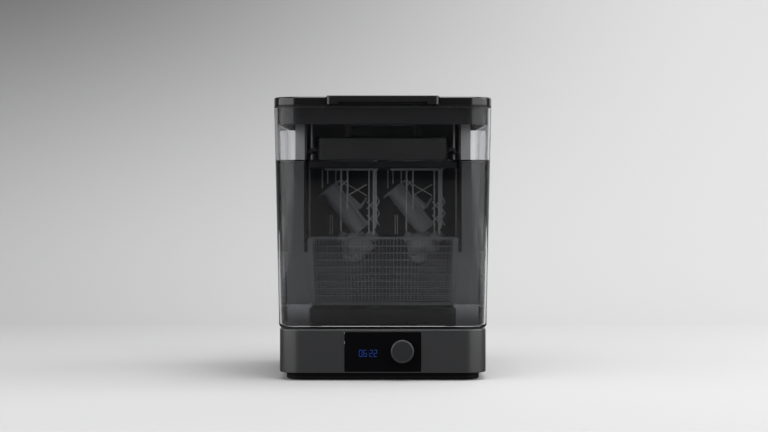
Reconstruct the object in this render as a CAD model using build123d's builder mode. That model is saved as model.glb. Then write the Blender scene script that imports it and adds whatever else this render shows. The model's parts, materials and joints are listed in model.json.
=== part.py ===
"""Bench-top resin wash station.

A magnetic-stirrer base carries a lift-off tank. A hinged-lid insert hangs in the tank's mouth and
holds a build platform over a wire basket.

Millimetres. +Z is up, the front faces -Y, and the origin is on the floor under the middle.
"""

import os
from math import atan2, cos, degrees, radians, sin, tan

from build123d import *

os.makedirs("parts", exist_ok=True)

# ------------------------------------------------------------------ driving dimensions
# Clearances
running = 0.05          # radial, shaft in bore
fit_gap = 0.25          # between static pieces that slip together
move_gap = 0.3          # between pieces on different bodies

# Fasteners
screw_radius = 1.5
screw_head_radius = 2.75
screw_head_height = 1.6
screw_hole_radius = screw_radius + 0.2
screw_socket_radius = 1.4
screw_bite = 5.0        # usual thread length in the piece below
long_screw_bite = 8.0

# Base
base_width = 272.0
base_depth = 255.0
base_height = 57.0      # housing, from its lower edge to the top of the deck
base_corner = 27.0
base_wall = 3.0
base_edge = 1.4         # fillet round the deck
base_lower_edge = 0.6   # chamfer round the open underside
deck_thickness = 3.0
plinth_height = 10.0     # foot tray and feet, below the housing
plinth_inset = 9.0
tray_lift = 1.5         # tray's underside above the floor
tray_floor = 2.5
tray_flange = 1.5
tray_wall = 2.5
tray_recess = 1.0       # for the feet and the screw heads
tray_slot = (70.0, 3.0)
tray_slot_pitch = 9.0
tray_slot_count = 7
foot_radius = 9.0
foot_spacing = (184.0, 172.0)
cover_post_spacing = (216.0, 100.0)
cover_post_radius = 4.5
seat_spacing = (190.0, 180.0)
seat_radius = 12.0
seat_pad = 1.0          # rubber under the tank
seat_stud_radius = 7.0
seat_stud_height = 1.9

# Control panel
panel_width = 100.0
panel_height = 51.5
panel_face = 3.0
panel_tray_depth = 11.3
panel_recess = 0.2
panel_wall = 2.0
panel_ear = (11.5, 9.0)
panel_ear_spacing = (114.0, 36.0)
panel_ear_thickness = 2.5
panel_ear_lap = 1.0     # how far an ear runs into the panel's wall
panel_boss_radius = 3.5
panel_margin = 2.0      # housing below the panel
board_thickness = 1.6
board_gap = 1.0         # round the circuit board
board_post_radius = 3.0
board_part_height = 1.0
board_post_spacing = (84.0, 38.0)
display_size = (50.0, 19.0)
display_offset = (-18.9, -1.5)
knob_offset = (25.5, 1.2)
knob_radius = 15.0
knob_depth = 10.3
knob_travel = 0.8       # when it is pressed
knob_gap = 0.4          # left behind the pressed knob
knob_flutes = 40
encoder_size = 12.5
encoder_shaft_radius = 3.0
encoder_pin_radius = 1.5        # rear end of the shaft, which turns in the plunger
bushing_radius = 3.5
plunger_thickness = 2.2
plunger_room_radius = 5.0
plunger_room_length = 4.5
encoder_front_wall = 1.0
knob_wall = 2.5
knob_roof = 3.2         # solid end of the knob behind its inlaid face
knob_inlay = 1.0
knob_inlay_recess = 0.2
knob_inlay_margin = 2.4
flute_radius = 0.7
flute_end = 1.6         # plain collar in front of the flutes

# Drive
motor_radius = 21.0
motor_length = 28.5
motor_boss = (8.0, 2.1)
motor_shaft_radius = 2.5
motor_shaft_depth = 16.0        # of the shaft inside the motor
motor_screw_circle = 16.0
bracket_size = 92.0
bracket_thickness = 2.5
bracket_post_spacing = 72.0
bracket_post_length = 12.0
hub_radius = 34.0
hub_thickness = 6.5
hub_deck_gap = 1.5
magnet_count = 6
magnet_circle = 24.0
magnet_radius = 6.0
drive_magnet_height = 4.5

# Rear wall
switch_x = 92.0
switch_body = (20.6, 14.6)      # height, width
switch_flange = (26.0, 20.0)
switch_depth = 18.0
rocker_size = (16.6, 10.6)      # height, width
rocker_tilt = 7.0
inlet_x = 62.0
inlet_radius = 5.5
inlet_bore_radius = 2.9
inlet_bore_depth = 10.0
inlet_pin_radius = 1.05
inlet_body_length = 14.0
inlet_flange = 2.0      # beyond the inlet's body, all round
inlet_nut_size = (3.0, 2.5)     # beyond the body, and thickness
vent_count = 12
vent_pitch = 7.0
vent_slot = (24.0, 2.6)
vent_x = -60.0
rear_fitting_drop = 2.0         # rear fittings sit this far below the housing's middle

# Tank
tank_width = 274.0      # at its floor
tank_depth = 256.0
tank_height = 289.0
tank_corner = 26.0
tank_wall = 3.0
tank_floor = 4.0
tank_draft = 1.28       # degrees, outwards going up
tank_base_fillet = 5.0

# Impeller
pin_radius = 3.0
pin_length = 21.0
pin_seat = 2.2          # how far the pin sinks into the tank's floor
boss_radius = 8.0
boss_height = 1.7
impeller_radius = 42.0
impeller_disc = 4.5
vane_height = 8.5
vane_count = 6
vane_thickness = 2.4
bush_wall = 2.0
impeller_magnet_height = 3.0
impeller_magnet_radius = 5.0
clip_thickness = 1.0
guard_slot = (58.0, 8.0)
guard_slot_circle = 56.0
guard_slot_count = 12
guard_window = (12.0, 10.0)
guard_window_corner = 2.0
guard_edge = 2.0        # fillet round its top
guard_window_pitch = 20.0
guard_window_count = 7
guard_size = (194.0, 196.0)
guard_corner = 20.0
guard_height = 22.0
guard_wall = 2.5

# Insert
seal_thickness = 0.8
flange_thickness = 2.4
band_height = 23.0      # wall that drops into the tank's mouth
band_clearance = 1.5
band_thickness = 3.0
insert_deck_drop = 4.0  # deck's top below the flange's underside
insert_deck = 3.0
arm_thickness = 3.0
arm_gap = 2.0           # between each arm and the build platform, and in front of it
arm_back_gap = 0.5
arm_tail = 16.5         # of each arm below the basket's rails
arm_corner = 9.0
rail_height = 3.0
platform_rail_drop = 56.1       # top of the platform's rails, under the top frame
platform_rail_width = 6.0
basket_rail_drop = 173.6        # top of the basket's rails, under the top frame
basket_rail_width = 3.0
rail_end = 8.0          # each rail stops this short of the arm's edges
panel_slit = 2.0        # open slit between the arms and the baffle
baffle_floor_gap = 1.0  # above the impeller's guard
wing_thickness = 2.0
wing_lap = 8.0          # of each wing behind the baffle
wing_gap = 9.0          # from a wing to the tank's wall, at the tank's floor
bolt_flange = 13.0      # width of the flanges that bolt up to the deck

# Build platform
platform_width = 200.0
platform_depth = 125.0
platform_drop = 79.1    # underside of the build platform, under the top frame
platform_plate_thickness = 8.0
platform_body_size = (180.0, 100.0)
platform_body_height = 34.0
platform_lip = 4.0
platform_wall = 5.0
platform_boss_radius = 5.0
platform_screw_spacing = (164.0, 84.0)
platform_screw_bite = 6.0
grip_width = 104.0
grip_height = 24.0
grip_depth = 20.0
grip_bar = 8.0

# Basket
basket_clearance = 1.0  # rim to arm, each side
basket_end_gap = 2.25   # rim to the arms' front and back edges
basket_rim = 4.0        # width of the rim and of the bottom ring
basket_rim_height = 3.0
basket_floor_gap = 3.0  # above the impeller's guard
basket_post = (6.5, 3.0)
basket_taper = 3.5      # how much each wall leans in, top to bottom
basket_bottom_bar = 4.0
wire = 1.4
mesh_pitch = 9.4
mesh_corner = 3.0       # plain strip beside each upright

# Lid
lid_height = 10.4
lid_wall = 3.0
lid_roof = 2.5
lid_edge = 2.5
liner_thickness = 2.0
lid_seal_width = 2.0
lid_seal_thickness = 0.6
tongue_thickness = 2.4
tongue_depth = 10.0
grip_screw_x = (-52.0, 0.0, 52.0)
grip_screw_bite = 1.6
finger_grip_width = 146.0
finger_grip_slit = 1.2
finger_grip_rise = 1.1
finger_scoop = (116.0, 6.0, 3.0)        # hollow under the fingertips
hinge_spacing = 160.0
hinge_barrel = 3.8
hinge_pin_radius = 2.0
hinge_knuckle = 16.0
hinge_ear = 4.0

# ------------------------------------------------------------------ derived places
housing_z = plinth_height
deck_top = housing_z + base_height
deck_under = deck_top - deck_thickness
base_inner = (base_width - 2 * base_wall, base_depth - 2 * base_wall)
plinth_size = (base_width - 2 * plinth_inset, base_depth - 2 * plinth_inset)
plinth_corner = base_corner - plinth_inset
tray_top = tray_lift + tray_floor
front_y = -base_depth / 2
back_y = base_depth / 2

tank_z = deck_top + seat_pad
tank_floor_z = tank_z + tank_floor
guard_top = tank_floor_z + guard_height
rim_z = tank_z + tank_height
draft_slope = tan(radians(tank_draft))
tank_grow = 2 * tank_height * draft_slope
tank_top = (tank_width + tank_grow, tank_depth + tank_grow)
tank_top_corner = tank_corner + tank_grow / 2

flange_z = rim_z + seal_thickness + move_gap
flange_top = flange_z + flange_thickness
flange_size = tank_top
flange_corner = tank_top_corner
band_inset = tank_wall + band_clearance
band_size = (tank_top[0] - 2 * band_inset, tank_top[1] - 2 * band_inset)
band_corner = tank_top_corner - band_inset
band_inner = (band_size[0] - 2 * band_thickness, band_size[1] - 2 * band_thickness)
band_inner_corner = band_corner - band_thickness
insert_deck_top = flange_z - insert_deck_drop
insert_deck_under = insert_deck_top - insert_deck

platform_rail_z = flange_z - platform_rail_drop
basket_rail_z = flange_z - basket_rail_drop
arm_bottom = basket_rail_z - arm_tail
baffle_bottom = guard_top + baffle_floor_gap
arm_inner_x = platform_width / 2 + arm_gap
arm_outer_x = arm_inner_x + arm_thickness
arm_front_y = -platform_depth / 2 - arm_gap
arm_back_y = platform_depth / 2 + arm_back_gap
baffle_y = arm_back_y + panel_slit
baffle_half = arm_inner_x - panel_slit
wing_half = tank_width / 2 - tank_wall - wing_gap

lid_z = flange_top + move_gap
lid_top = lid_z + lid_height
hinge_y = flange_size[1] / 2 + hinge_barrel + move_gap
hinge_z = lid_z + hinge_barrel + 0.1
overhang_y = hinge_y + hinge_barrel

platform_bottom = flange_z - platform_drop
platform_top = platform_bottom + platform_plate_thickness
body_top = platform_top + platform_body_height
basket_rim_z = basket_rail_z
basket_bottom = guard_top + basket_floor_gap
basket_half_x = arm_inner_x - basket_clearance
basket_front = arm_front_y + basket_end_gap
basket_back = arm_back_y - basket_end_gap
basket_mid_y = (basket_front + basket_back) / 2
basket_depth = basket_back - basket_front

panel_z = housing_z + panel_margin + panel_height / 2
knob_x = knob_offset[0]
knob_z = panel_z + knob_offset[1]
panel_front = front_y + panel_recess
panel_back = panel_front + panel_face
tray_back = panel_front + panel_tray_depth


def save(piece, label):
    """Label a finished piece and write it."""
    piece.part.label = label
    export_step(piece.part, f"parts/{label}.step")


def rounded_ring(outer, corner, wall):
    """A rounded-rectangle ring in the active sketch."""
    RectangleRounded(outer[0], outer[1], corner)
    RectangleRounded(outer[0] - 2 * wall, outer[1] - 2 * wall, corner - wall, mode=Mode.SUBTRACT)


def screw_group(plane, spots, shank):
    """Socket-head screws: heads stand on the plane, shanks run down its -Z."""
    with BuildPart() as group:
        with BuildSketch(plane):
            with Locations(*spots):
                Circle(screw_head_radius)
        extrude(amount=screw_head_height)
        with BuildSketch(plane.offset(screw_head_height)):
            with Locations(*spots):
                RegularPolygon(screw_socket_radius, 6)
        extrude(amount=-0.6 * screw_head_height, mode=Mode.SUBTRACT)
        with BuildSketch(plane):
            with Locations(*spots):
                Circle(screw_radius)
        extrude(amount=-shank)
    return group


def grid_spots(spacing_x, spacing_y, count_x=2, count_y=2):
    """Centres of a grid about the origin, as (x, y) pairs."""
    return [
        (spacing_x * (i - (count_x - 1) / 2), spacing_y * (j - (count_y - 1) / 2))
        for i in range(count_x)
        for j in range(count_y)
    ]


# ------------------------------------------------------------------ base: housing and tray
cover_spots = grid_spots(*cover_post_spacing, 2, 3)
bracket_spots = grid_spots(bracket_post_spacing, bracket_post_spacing)
ear_spots = [(x, panel_z + z) for x, z in grid_spots(*panel_ear_spacing)]
boss_length = panel_tray_depth - base_wall - panel_ear_thickness + panel_recess
front_inner = Plane.XZ.offset(-front_y - base_wall)
back_outer = Plane.XZ.offset(-back_y)
rear_z = housing_z + base_height / 2 - rear_fitting_drop

with BuildPart() as base_housing:
    with BuildSketch(Plane.XY.offset(housing_z)):
        RectangleRounded(base_width, base_depth, base_corner)
    extrude(amount=base_height)
    fillet(base_housing.faces().sort_by(Axis.Z)[-1].edges(), base_edge)
    chamfer(base_housing.faces().sort_by(Axis.Z)[0].edges(), base_lower_edge)
    with BuildSketch(Plane.XY.offset(housing_z)):
        RectangleRounded(*base_inner, base_corner - base_wall)
    extrude(amount=base_height - deck_thickness, mode=Mode.SUBTRACT)
    # posts for the foot tray and for the motor bracket
    with BuildSketch(Plane.XY.offset(deck_under)):
        with Locations(*cover_spots):
            Circle(cover_post_radius)
    extrude(amount=tray_top - deck_under)
    with BuildSketch(Plane.XY.offset(deck_under)):
        with Locations(*bracket_spots):
            Circle(cover_post_radius)
    extrude(amount=-bracket_post_length)
    with BuildSketch(Plane.XY.offset(tray_top)):
        with Locations(*cover_spots):
            Circle(screw_radius)
    extrude(amount=long_screw_bite + tray_floor, mode=Mode.SUBTRACT)
    with BuildSketch(Plane.XY.offset(deck_under - bracket_post_length)):
        with Locations(*bracket_spots):
            Circle(screw_radius)
    extrude(amount=long_screw_bite + 1, mode=Mode.SUBTRACT)
    # window for the control panel, with the bosses that its ears screw to
    with BuildSketch(front_inner):
        with Locations((0, panel_z)):
            Rectangle(panel_width + 2 * fit_gap, panel_height + 2 * fit_gap)
    extrude(amount=base_wall, mode=Mode.SUBTRACT)
    with BuildSketch(front_inner):
        with Locations(*ear_spots):
            Circle(panel_boss_radius)
            Circle(screw_radius, mode=Mode.SUBTRACT)
    extrude(amount=-boss_length)
    # rear wall: switch, power inlet and vents
    with BuildSketch(back_outer):
        with Locations((switch_x, rear_z)):
            Rectangle(switch_body[1] + 2 * fit_gap, switch_body[0] + 2 * fit_gap)
        with Locations((inlet_x, rear_z)):
            Circle(inlet_radius + fit_gap)
        with Locations((vent_x, rear_z)):
            with GridLocations(vent_pitch, 0, vent_count, 1):
                SlotOverall(*vent_slot, rotation=90)
    extrude(amount=base_wall, mode=Mode.SUBTRACT)
save(base_housing, "base_housing")

with BuildPart() as bottom_tray:
    with BuildSketch(Plane.XY.offset(tray_lift)):
        RectangleRounded(*plinth_size, plinth_corner)
    extrude(amount=plinth_height - tray_lift)
    chamfer(bottom_tray.faces().sort_by(Axis.Z)[0].edges(), 0.8)
    with BuildSketch(Plane.XY.offset(plinth_height)):
        RectangleRounded(
            base_inner[0] - 2 * fit_gap, base_inner[1] - 2 * fit_gap, base_corner - base_wall - fit_gap
        )
    extrude(amount=tray_flange)
    with BuildSketch(Plane.XY.offset(tray_top)):
        RectangleRounded(
            plinth_size[0] - 2 * tray_wall, plinth_size[1] - 2 * tray_wall, plinth_corner - tray_wall
        )
    extrude(amount=plinth_height + tray_flange - tray_top, mode=Mode.SUBTRACT)
    # recessed screw heads, foot sockets and air slots
    with BuildSketch(Plane.XY.offset(tray_lift)):
        with Locations(*cover_spots):
            Circle(screw_head_radius + fit_gap)
        with GridLocations(*foot_spacing, 2, 2):
            Circle(foot_radius)
    extrude(amount=tray_recess, mode=Mode.SUBTRACT)
    with BuildSketch(Plane.XY.offset(tray_lift)):
        with Locations(*cover_spots):
            Circle(screw_hole_radius)
        with GridLocations(0, tray_slot_pitch, 1, tray_slot_count):
            SlotOverall(*tray_slot)
    extrude(amount=tray_floor, mode=Mode.SUBTRACT)
save(bottom_tray, "bottom_tray")

with BuildPart() as rubber_feet:
    with BuildSketch():
        with GridLocations(*foot_spacing, 2, 2):
            Circle(foot_radius)
    extrude(amount=tray_lift + tray_recess)
    chamfer(rubber_feet.faces().group_by(Axis.Z)[0].edges(), 0.5)
save(rubber_feet, "rubber_feet")

# countersunk thin heads, level with the tray's underside
with BuildPart() as tray_screws:
    with BuildSketch(Plane.XY.offset(tray_lift + 0.05)):
        with Locations(*cover_spots):
            Circle(screw_head_radius)
            RegularPolygon(screw_socket_radius, 6, mode=Mode.SUBTRACT)
    extrude(amount=0.95)
    with BuildSketch(Plane.XY.offset(tray_lift + 0.7)):
        with Locations(*cover_spots):
            Circle(screw_radius)
    extrude(amount=tray_floor + long_screw_bite)
save(tray_screws, "tray_screws")

# the tank stands on these pads and their studs keep it square on the deck
with BuildPart() as tank_seats:
    with BuildSketch(Plane.XY.offset(deck_top)):
        with GridLocations(*seat_spacing, 2, 2):
            Circle(seat_radius)
    extrude(amount=seat_pad)
    with BuildSketch(Plane.XY.offset(tank_z)):
        with GridLocations(*seat_spacing, 2, 2):
            Circle(seat_stud_radius)
    extrude(amount=seat_stud_height)
    chamfer(tank_seats.faces().group_by(Axis.Z)[-1].edges(), 0.5)
save(tank_seats, "tank_seats")

# ------------------------------------------------------------------ base: control panel
display_x = display_offset[0]
display_z = panel_z + display_offset[1]
board_spots = [(x, panel_z + z) for x, z in grid_spots(*board_post_spacing)]
board_front = tray_back - board_thickness - 0.2
panel_plane = Plane.XZ.offset(-panel_front)
panel_back_plane = Plane.XZ.offset(-panel_back)

with BuildPart() as front_panel:
    with BuildSketch(panel_plane):
        with Locations((0, panel_z)):
            Rectangle(panel_width, panel_height)
    extrude(amount=-panel_tray_depth)
    chamfer(front_panel.faces().sort_by(Axis.Y)[0].edges(), 0.5)
    with BuildSketch(panel_back_plane):
        with Locations((0, panel_z)):
            Rectangle(panel_width - 2 * panel_wall, panel_height - 2 * panel_wall)
    extrude(amount=panel_face - panel_tray_depth, mode=Mode.SUBTRACT)
    with BuildSketch(panel_back_plane):
        with Locations(*board_spots):
            Circle(board_post_radius)
            Circle(screw_radius, mode=Mode.SUBTRACT)
    extrude(amount=panel_back - board_front)
    ear_x = (panel_width + panel_ear[0] - panel_ear_lap) / 2
    with BuildSketch(Plane.XZ.offset(-tray_back)):
        for side in (-1, 1):
            with Locations((side * ear_x, panel_z)):
                with GridLocations(0, panel_ear_spacing[1], 1, 2):
                    Rectangle(panel_ear[0] + panel_ear_lap, panel_ear[1])
        with Locations(*ear_spots):
            Circle(screw_hole_radius, mode=Mode.SUBTRACT)
    extrude(amount=panel_ear_thickness)
    with BuildSketch(panel_plane):
        with Locations((knob_x, knob_z)):
            Circle(bushing_radius + fit_gap)
    extrude(amount=-panel_face, mode=Mode.SUBTRACT)
save(front_panel, "front_panel")

rear_facing = Plane(origin=(0, tray_back, 0), x_dir=(-1, 0, 0), z_dir=(0, 1, 0))
save(screw_group(rear_facing, ear_spots, panel_ear_thickness + screw_bite), "panel_screws")

with BuildPart() as control_board:
    with BuildSketch(Plane.XZ.offset(-board_front)):
        with Locations((0, panel_z)):
            Rectangle(panel_width - 2 * (panel_wall + board_gap), panel_height - 2 * (panel_wall + board_gap))
        with Locations(*board_spots):
            Circle(screw_hole_radius, mode=Mode.SUBTRACT)
    extrude(amount=-board_thickness)
    # lead sockets and the driver chips on the back
    with BuildSketch(Plane.XZ.offset(-board_front - board_thickness)):
        with Locations((-34, panel_z - 12), (34, panel_z - 12)):
            Rectangle(12, 7)
        with Locations((-8, panel_z + 6), (10, panel_z - 4)):
            Rectangle(9, 9)
    extrude(amount=-board_part_height)
save(control_board, "control_board")

board_rear = Plane(origin=(0, board_front + board_thickness, 0), x_dir=(-1, 0, 0), z_dir=(0, 1, 0))
save(screw_group(board_rear, board_spots, board_thickness + screw_bite), "board_screws")

with BuildPart() as display_module:
    with BuildSketch(Plane.XZ.offset(-board_front)):
        with Locations((display_x, display_z)):
            Rectangle(*display_size)
    extrude(amount=board_front - panel_back - fit_gap)
save(display_module, "display_module")

# ------------------------------------------------------------------ base: knob and its encoder
encoder_front = panel_back + fit_gap
panel_depth_through = 2 * panel_face
plunger_front = encoder_front + 2 * encoder_front_wall
plunger_back = plunger_front + plunger_thickness
shaft_end = plunger_front - move_gap
knob_back = panel_front - knob_travel - knob_gap
knob_front = knob_back - knob_depth
knob_cap_radius = knob_radius - knob_inlay_margin
shaft_front = knob_front + knob_roof - knob_inlay_recess


def knob_plane(y):
    """A plane facing the user, centred on the knob's axis."""
    return Plane(origin=(knob_x, y, knob_z), x_dir=(1, 0, 0), z_dir=(0, -1, 0))


with BuildPart() as encoder_body:
    with BuildSketch(knob_plane(encoder_front)):
        RectangleRounded(encoder_size, encoder_size, 0.6)
    extrude(amount=encoder_front - board_front)
    with BuildSketch(knob_plane(encoder_front)):
        Circle(bushing_radius)
    extrude(amount=encoder_front - panel_front)
    with BuildSketch(knob_plane(encoder_front + encoder_front_wall)):
        Circle(plunger_room_radius)
    extrude(amount=-plunger_room_length, mode=Mode.SUBTRACT)
    with BuildSketch(knob_plane(encoder_front + encoder_front_wall)):
        Circle(encoder_shaft_radius + running)
    extrude(amount=panel_depth_through, mode=Mode.SUBTRACT)
save(encoder_body, "encoder_body")

# carries the knob's shaft and slides in the encoder when the knob is pressed
with BuildPart() as encoder_plunger:
    with BuildSketch(knob_plane(plunger_back)):
        Circle(plunger_room_radius - move_gap)
        Circle(encoder_pin_radius + running, mode=Mode.SUBTRACT)
    extrude(amount=plunger_back - plunger_front)
save(encoder_plunger, "encoder_plunger")

with BuildPart() as encoder_shaft:
    with BuildSketch(knob_plane(shaft_end)):
        Circle(encoder_shaft_radius)
    extrude(amount=shaft_end - shaft_front)
    chamfer(encoder_shaft.faces().sort_by(Axis.Y)[0].edges(), 0.3)
    with BuildSketch(knob_plane(shaft_end)):
        Circle(encoder_pin_radius)
    extrude(amount=-(plunger_thickness - move_gap))
save(encoder_shaft, "encoder_shaft")

with BuildPart() as knob:
    with BuildSketch(knob_plane(knob_back)):
        Circle(knob_radius)
    extrude(amount=knob_depth)
    fillet(knob.faces().sort_by(Axis.Y)[0].edges(), 1.2)
    chamfer(knob.faces().sort_by(Axis.Y)[-1].edges(), 0.4)
    with BuildSketch(knob_plane(knob_back)):
        with PolarLocations(knob_radius + fit_gap, knob_flutes):
            Circle(flute_radius)
    extrude(amount=knob_depth - flute_end, mode=Mode.SUBTRACT)
    with BuildSketch(knob_plane(knob_back)):
        Circle(knob_radius - knob_wall)
        Circle(encoder_shaft_radius + knob_wall, mode=Mode.SUBTRACT)
    extrude(amount=knob_depth - knob_roof, mode=Mode.SUBTRACT)
    with BuildSketch(knob_plane(knob_back)):
        Circle(encoder_shaft_radius)
    extrude(amount=knob_back - shaft_front, mode=Mode.SUBTRACT)
    with BuildSketch(knob_plane(knob_front)):
        Circle(knob_cap_radius)
    extrude(amount=-knob_inlay, mode=Mode.SUBTRACT)
save(knob, "knob")

with BuildPart() as knob_cap:
    with BuildSketch(knob_plane(knob_front + knob_inlay)):
        Circle(knob_cap_radius)
    extrude(amount=knob_inlay - knob_inlay_recess)
    chamfer(knob_cap.faces().sort_by(Axis.Y)[0].edges(), 0.3)
save(knob_cap, "knob_cap")

# ------------------------------------------------------------------ base: motor and magnetic drive
bracket_z = deck_under - bracket_post_length
bracket_bottom = bracket_z - bracket_thickness
hub_top = deck_under - hub_deck_gap
hub_z = hub_top - hub_thickness
quarter_turns = ((1, 0), (0, 1), (-1, 0), (0, -1))
motor_screw_spots = [(motor_screw_circle * x, motor_screw_circle * y) for x, y in quarter_turns]
shaft_bottom = bracket_bottom - motor_shaft_depth

with BuildPart() as motor_body:
    with BuildSketch(Plane.XY.offset(bracket_bottom)):
        Circle(motor_radius)
    extrude(amount=-motor_length)
    chamfer(motor_body.faces().sort_by(Axis.Z)[0].edges(), 1)
    with BuildSketch(Plane.XY.offset(bracket_bottom)):
        Circle(motor_boss[0])
    extrude(amount=motor_boss[1])
    with BuildSketch(Plane.XY.offset(shaft_bottom - 1)):
        Circle(motor_shaft_radius + running)
    extrude(amount=bracket_bottom + motor_boss[1] - shaft_bottom + 1, mode=Mode.SUBTRACT)
    with BuildSketch(Plane.XY.offset(bracket_bottom)):
        with Locations(*motor_screw_spots):
            Circle(screw_radius)
    extrude(amount=-screw_bite - 1, mode=Mode.SUBTRACT)
save(motor_body, "motor_body")

with BuildPart() as motor_bracket:
    with BuildSketch(Plane.XY.offset(bracket_bottom)):
        RectangleRounded(bracket_size, bracket_size, 8)
        Circle(motor_boss[0] + 1, mode=Mode.SUBTRACT)
        with Locations(*bracket_spots):
            Circle(screw_hole_radius, mode=Mode.SUBTRACT)
        with Locations(*motor_screw_spots):
            Circle(screw_hole_radius, mode=Mode.SUBTRACT)
    extrude(amount=bracket_thickness)
save(motor_bracket, "motor_bracket")

bracket_plane = Plane.XY.offset(bracket_z)
save(screw_group(bracket_plane, motor_screw_spots, bracket_thickness + screw_bite), "motor_screws")
bracket_under = Plane(origin=(0, 0, bracket_bottom), x_dir=(1, 0, 0), z_dir=(0, 0, -1))
save(screw_group(bracket_under, bracket_spots, bracket_thickness + long_screw_bite), "bracket_screws")

with BuildPart() as motor_shaft:
    with BuildSketch(Plane.XY.offset(shaft_bottom)):
        Circle(motor_shaft_radius)
    extrude(amount=hub_top - 1 - shaft_bottom)
    chamfer(motor_shaft.faces().sort_by(Axis.Z)[-1].edges(), 0.4)
save(motor_shaft, "motor_shaft")

with BuildPart() as drive_hub:
    with BuildSketch(Plane.XY.offset(hub_z)):
        Circle(hub_radius)
    extrude(amount=hub_thickness)
    chamfer(drive_hub.edges().filter_by(GeomType.CIRCLE), 0.6)
    with BuildSketch(Plane.XY.offset(hub_z)):
        Circle(motor_shaft_radius)
    extrude(amount=hub_thickness, mode=Mode.SUBTRACT)
    with BuildSketch(Plane.XY.offset(hub_top)):
        with PolarLocations(magnet_circle, magnet_count):
            Circle(magnet_radius)
    extrude(amount=-drive_magnet_height, mode=Mode.SUBTRACT)
save(drive_hub, "drive_hub")

with BuildPart() as drive_magnets:
    with BuildSketch(Plane.XY.offset(hub_top)):
        with PolarLocations(magnet_circle, magnet_count):
            Circle(magnet_radius)
    extrude(amount=-drive_magnet_height)
save(drive_magnets, "drive_magnets")

# ------------------------------------------------------------------ base: rear switch and power inlet
rear_lip = 1.5
rear_face = back_y + rear_lip
rocker_pivot_y = back_y - 1.5
rocker_peak = 4.2
rocker_well = 8.0
rocker_well_size = (rocker_size[1] + 0.6, rocker_size[0] + 1.4)
trunnion_radius = 1.0
trunnion_reach = rocker_size[1] / 2 + 1.2
rocker_foot = 3.0       # of the rocker behind its pivot
slope_drop = rocker_size[0] / 2 * tan(radians(rocker_tilt))


def rear_plane(x, y):
    """A plane facing backwards, centred at the height of the rear fittings."""
    return Plane(origin=(x, y, rear_z), x_dir=(-1, 0, 0), z_dir=(0, 1, 0))


with BuildPart() as switch_housing:
    with BuildSketch(rear_plane(switch_x, rear_face)):
        Rectangle(switch_body[1], switch_body[0])
    extrude(amount=-switch_depth)
    with BuildSketch(rear_plane(switch_x, back_y)):
        RectangleRounded(switch_flange[1], switch_flange[0], 1.5)
    extrude(amount=rear_lip)
    chamfer(switch_housing.faces().sort_by(Axis.Y)[-1].edges(), 0.4)
    with BuildSketch(rear_plane(switch_x, rear_face)):
        Rectangle(*rocker_well_size)
    extrude(amount=-rocker_well, mode=Mode.SUBTRACT)
    with BuildSketch(Plane(origin=(switch_x, rocker_pivot_y, rear_z), x_dir=(0, 1, 0), z_dir=(1, 0, 0))):
        Circle(trunnion_radius + running)
    extrude(amount=trunnion_reach + 0.3, both=True, mode=Mode.SUBTRACT)
save(switch_housing, "switch_housing")

# modelled pressed in at its lower end; the pivot runs along X
rocker_out = Vector(0, 1, 0).rotate(Axis.X, rocker_tilt)
rocker_plane = Plane(origin=(switch_x, rocker_pivot_y, rear_z), x_dir=rocker_out, z_dir=(1, 0, 0))
rocker_half = rocker_size[0] / 2
with BuildPart() as switch_rocker:
    with BuildSketch(rocker_plane):
        with BuildLine():
            Polyline(
                (rocker_peak, 0),
                (rocker_peak - slope_drop, rocker_half),
                (-rocker_foot, rocker_half - rocker_foot / 2),
                (-rocker_foot, rocker_foot / 2 - rocker_half),
                (rocker_peak - slope_drop, -rocker_half),
                close=True,
            )
        make_face()
    extrude(amount=rocker_size[1] / 2, both=True)
    with BuildSketch(rocker_plane):
        Circle(trunnion_radius)
    extrude(amount=trunnion_reach, both=True)
save(switch_rocker, "switch_rocker")

with BuildPart() as power_inlet:
    with BuildSketch(rear_plane(inlet_x, back_y)):
        Circle(inlet_radius + inlet_flange)
    extrude(amount=rear_lip)
    chamfer(power_inlet.faces().sort_by(Axis.Y)[-1].edges(), 0.4)
    with BuildSketch(rear_plane(inlet_x, back_y)):
        Circle(inlet_radius)
    extrude(amount=-inlet_body_length)
    with BuildSketch(rear_plane(inlet_x, rear_face)):
        Circle(inlet_bore_radius)
    extrude(amount=-inlet_bore_depth, mode=Mode.SUBTRACT)
    with BuildSketch(rear_plane(inlet_x, rear_face - inlet_bore_depth)):
        Circle(inlet_pin_radius)
    extrude(amount=inlet_bore_depth - 1)
save(power_inlet, "power_inlet")

with BuildPart() as inlet_nut:
    with BuildSketch(rear_plane(inlet_x, back_y - base_wall)):
        RegularPolygon(inlet_radius + inlet_nut_size[0], 6)
        Circle(inlet_radius, mode=Mode.SUBTRACT)
    extrude(amount=-inlet_nut_size[1])
save(inlet_nut, "inlet_nut")

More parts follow.
